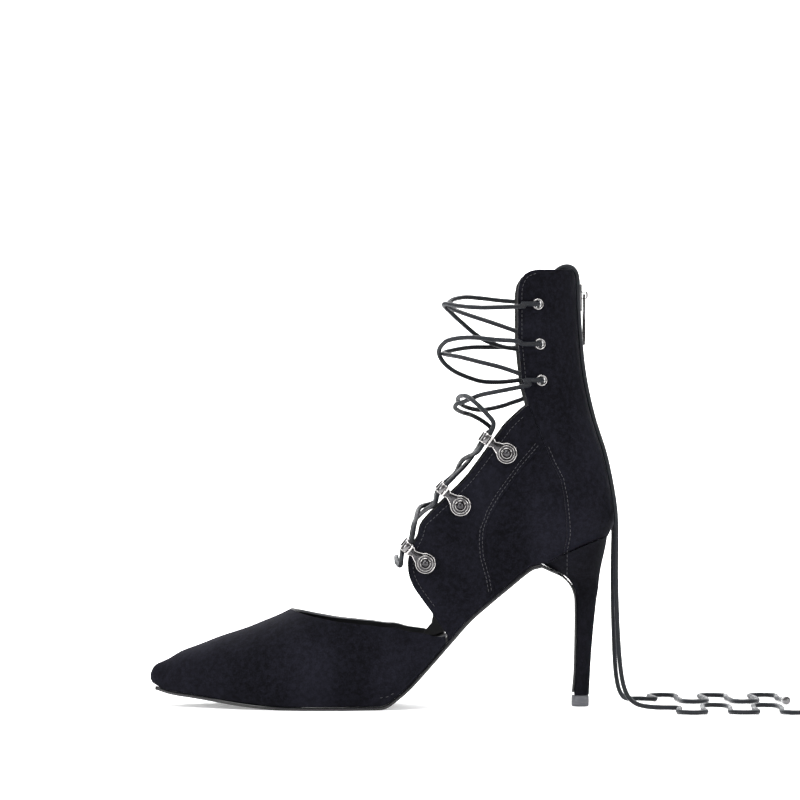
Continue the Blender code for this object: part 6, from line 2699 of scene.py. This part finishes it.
@dataclass
class Seams:
    """Every row of stitches on the upper."""

    upper: Upper
    rows: RowTree
    finish: Finish
    pitch: float = 0.0021
    long: float = 0.00155
    thick: float = 0.00017
    above: float = 0.00006

    def thread(self) -> Thing:
        """One stitch along Z, thickest in its middle.

        Returns:
            The stitch.
        """
        turn = np.radians((8, 30, 60, 90, 120, 150, 172))
        profile = np.stack([self.thick * np.sin(turn) + 1e-5, -self.long / 2 * np.cos(turn)], axis=1)
        return lathe("stitch", profile, 6, (self.finish,))

    def on_wall(self, places: Array, inset: float, keep: slice = slice(None)) -> Array:
        """A row of stitches beside a line.

        Args:
            places: The line on the unrolled wall.
            inset: How far the row lies to the line's left.
            keep: The part of the moved line that is sewn.

        Returns:
            Points just proud of the suede.
        """
        line = shifted(places, inset)[keep]
        eased = smooth(line[:: max(1, len(line) // 60)], 0.0007)
        return self.upper.shaft.surface(eased, self.above - self.upper.relief(eased))

    def paths(self) -> list[Array]:
        """Each row of stitches as points.

        Returns:
            One path for each row.
        """
        upper, trace = self.upper, self.upper.shaft.trace
        found = []
        for side in (-1, 1):
            rows, turn = upper.edge_rows(side), upper.junction(side)
            wing = trim(trace(PANEL_FRONT, side), upper)
            counter = trace(PANEL_BACK[::-1], side)
            for gap in (0.0013, 0.0027):
                found.append(self.on_wall(wing[4:-3], side * gap, slice(2, -2)))
            found.append(self.on_wall(counter[3:-2], -side * 0.0014))
            first = 1 if side < 0 else len(MEDIAL_EDGE)
            found.append(self.on_wall(trace(rows[first:turn], side), side * 0.0026, slice(4, -8)))
            found.append(self.on_wall(trace(rows[turn + 1 :], side), side * 0.0019, slice(6, -4)))
            z = np.linspace(float(upper.last.height(1.985)), float(upper.last.height(1.17)), 90)
            beside = np.full(90, side * (upper.zip_slot + 0.0019))
            found.append(self.on_wall(np.stack([beside, z], axis=1), 0.0))
        return found

    def feather_path(self) -> Array:
        """A few stitches that show at the feather line under the ball."""
        points = self.upper.last.vamp_point(np.linspace(0.497, 0.520, 12), np.linspace(0.048, 0.036, 12))
        return points - (0, 0.00002, 0)

    def build(self) -> Thing:
        """All the stitches as one plain mesh."""
        paths = [*self.paths(), self.feather_path()]
        thread = self.thread()
        return self.rows.build("seam_stitches", paths, thread, self.pitch, self.finish, tilt=0.06, seed=11)


@dataclass
class Studio:
    """Pale sweep, soft lights and the photograph's camera."""

    near: float = -4.0
    far: float = 3.0
    bend: float = 0.8
    tall: float = 4.2
    half: float = 5.0
    sensor: float = 36.0
    lens: float = 189.0
    fill: float = 0.38

    def put(self, name: str, data: Any, place: Sequence[float], turn: Sequence[float]) -> Thing:
        """A camera or light in its place.

        Args:
            name: Its name.
            data: Its settings.
            place: Where it stands.
            turn: Its angles.

        Returns:
            The new object.
        """
        made = linked(name, data)
        made.location, made.rotation_euler = place, turn
        return made

    def camera(self) -> None:
        """The camera level with the cuff, seen from the lateral side."""
        data = bpy.data.cameras.new("view")
        data.sensor_width, data.lens, data.clip_end = self.sensor, self.lens, 60.0
        place = (CAMERA_X, -CAMERA_DISTANCE, CAMERA_Z)
        bpy.context.scene.camera = self.put("view", data, place, (math.pi / 2, 0.0, 0.0))

    def sweep(self) -> None:
        """The floor that curves up behind the shoe."""
        line = [(self.near, 0.0), (self.far, 0.0)]
        for a in np.radians(np.linspace(-85, 0, 18)):
            line.append((self.far + self.bend * math.cos(a), self.bend + self.bend * math.sin(a)))
        line.append((self.far + self.bend, self.tall))
        verts = [(x, y, z) for y, z in line for x in (-self.half, self.half)]
        faces = [(2 * i, 2 * i + 1, 2 * i + 3, 2 * i + 2) for i in range(len(line) - 1)]
        make_mesh("pale_sweep", verts, faces, (Paper().material(),), sharp=80)

    def light(self, name: str, place: Sequence[float], size: float, power: float,
              aim: Sequence[float]) -> None:
        """A square soft light that faces a point.

        Args:
            name: Its name.
            place: Where it hangs.
            size: Length of its sides.
            power: Its power in watts.
            aim: The point that it faces.
        """
        data = bpy.data.lights.new(name, "AREA")
        data.shape, data.size, data.energy = "SQUARE", size, power
        self.put(name, data, place, (Vector(aim) - Vector(place)).to_track_quat("-Z", "Y").to_euler())

    def build(self) -> None:
        """Lights, sweep and a world that is white behind the shoe and softer as a light."""
        world = bpy.data.worlds.new("studio")
        world.use_nodes = True
        tree = world.node_tree
        glows = [
            grow(tree, "ShaderNodeBackground", {}, {"Color": (1.0, 1.0, 1.0, 1.0), "Strength": strength})
            for strength in (self.fill, 1.0)
        ]
        seen = grow(tree, "ShaderNodeLightPath", {}, {}, "Is Camera Ray")
        mix = grow(tree, "ShaderNodeMixShader", {}, {0: seen, 1: glows[0], 2: glows[1]})
        tree.links.new(mix, tree.nodes["World Output"].inputs["Surface"])
        bpy.context.scene.world = world
        bpy.context.scene.view_settings.view_transform = "Standard"
        self.sweep()
        for row in LIGHTS:
            self.light(*row)


def main() -> None:
    """Builds every piece in order."""
    logging.basicConfig(level=logging.INFO, format="%(name)s %(message)s")
    for made in list(bpy.data.objects):
        bpy.data.objects.remove(made)
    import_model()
    last = Last()
    shaft = Shaft(last)
    finishes = Finishes()
    base = (last, shaft, finishes)
    rows = RowTree()
    studio = Studio()
    studio.camera()
    for side in Side:
        Tie(*base, side).build()
    upper = Upper(*base)
    settle(upper.vamp(), ("vamp",))
    settle(upper.quarters(), ("quarters",))
    bottom = Bottom(*base)
    settle(bottom.outsole(), ("outsole",))
    settle(bottom.insole(), ("insole",))
    settle(bottom.heel(), ("heel",))
    settle(bottom.top_piece(), ("top_piece",))
    for side in Side:
        for number in (1, 2, 3):
            hook = Hook(*base, number, side)
            settle(hook.plate(), (f"hook_{side.word}_{number}",))
            settle(hook.pin(), (f"rivet_{side.word}_{number}",))
            settle(Eyelet(*base, number, side).ring(), (f"eyelet_{side.word}_{number}",))
    lacing = Lacing(*base)
    settle(lacing.over_hooks(), ("lacing_hooks",))
    for part, start in (("middle", 3), ("upper", 2)):
        settle(lacing.loop(part, start), (f"lacing_{part}",))
    fastener = Zip(*base, rows)
    settle(fastener.chain(), ("zip_chain",))
    settle(fastener.stop(), ("zip_stop",))
    settle(fastener.slider(), ("zip_slider",))
    settle(fastener.pull(), ("zip_pull",), PULL)
    settle(Seams(upper, rows, finishes.thread).build(), ())
    studio.build()


if __name__ == "__main__":
    main()
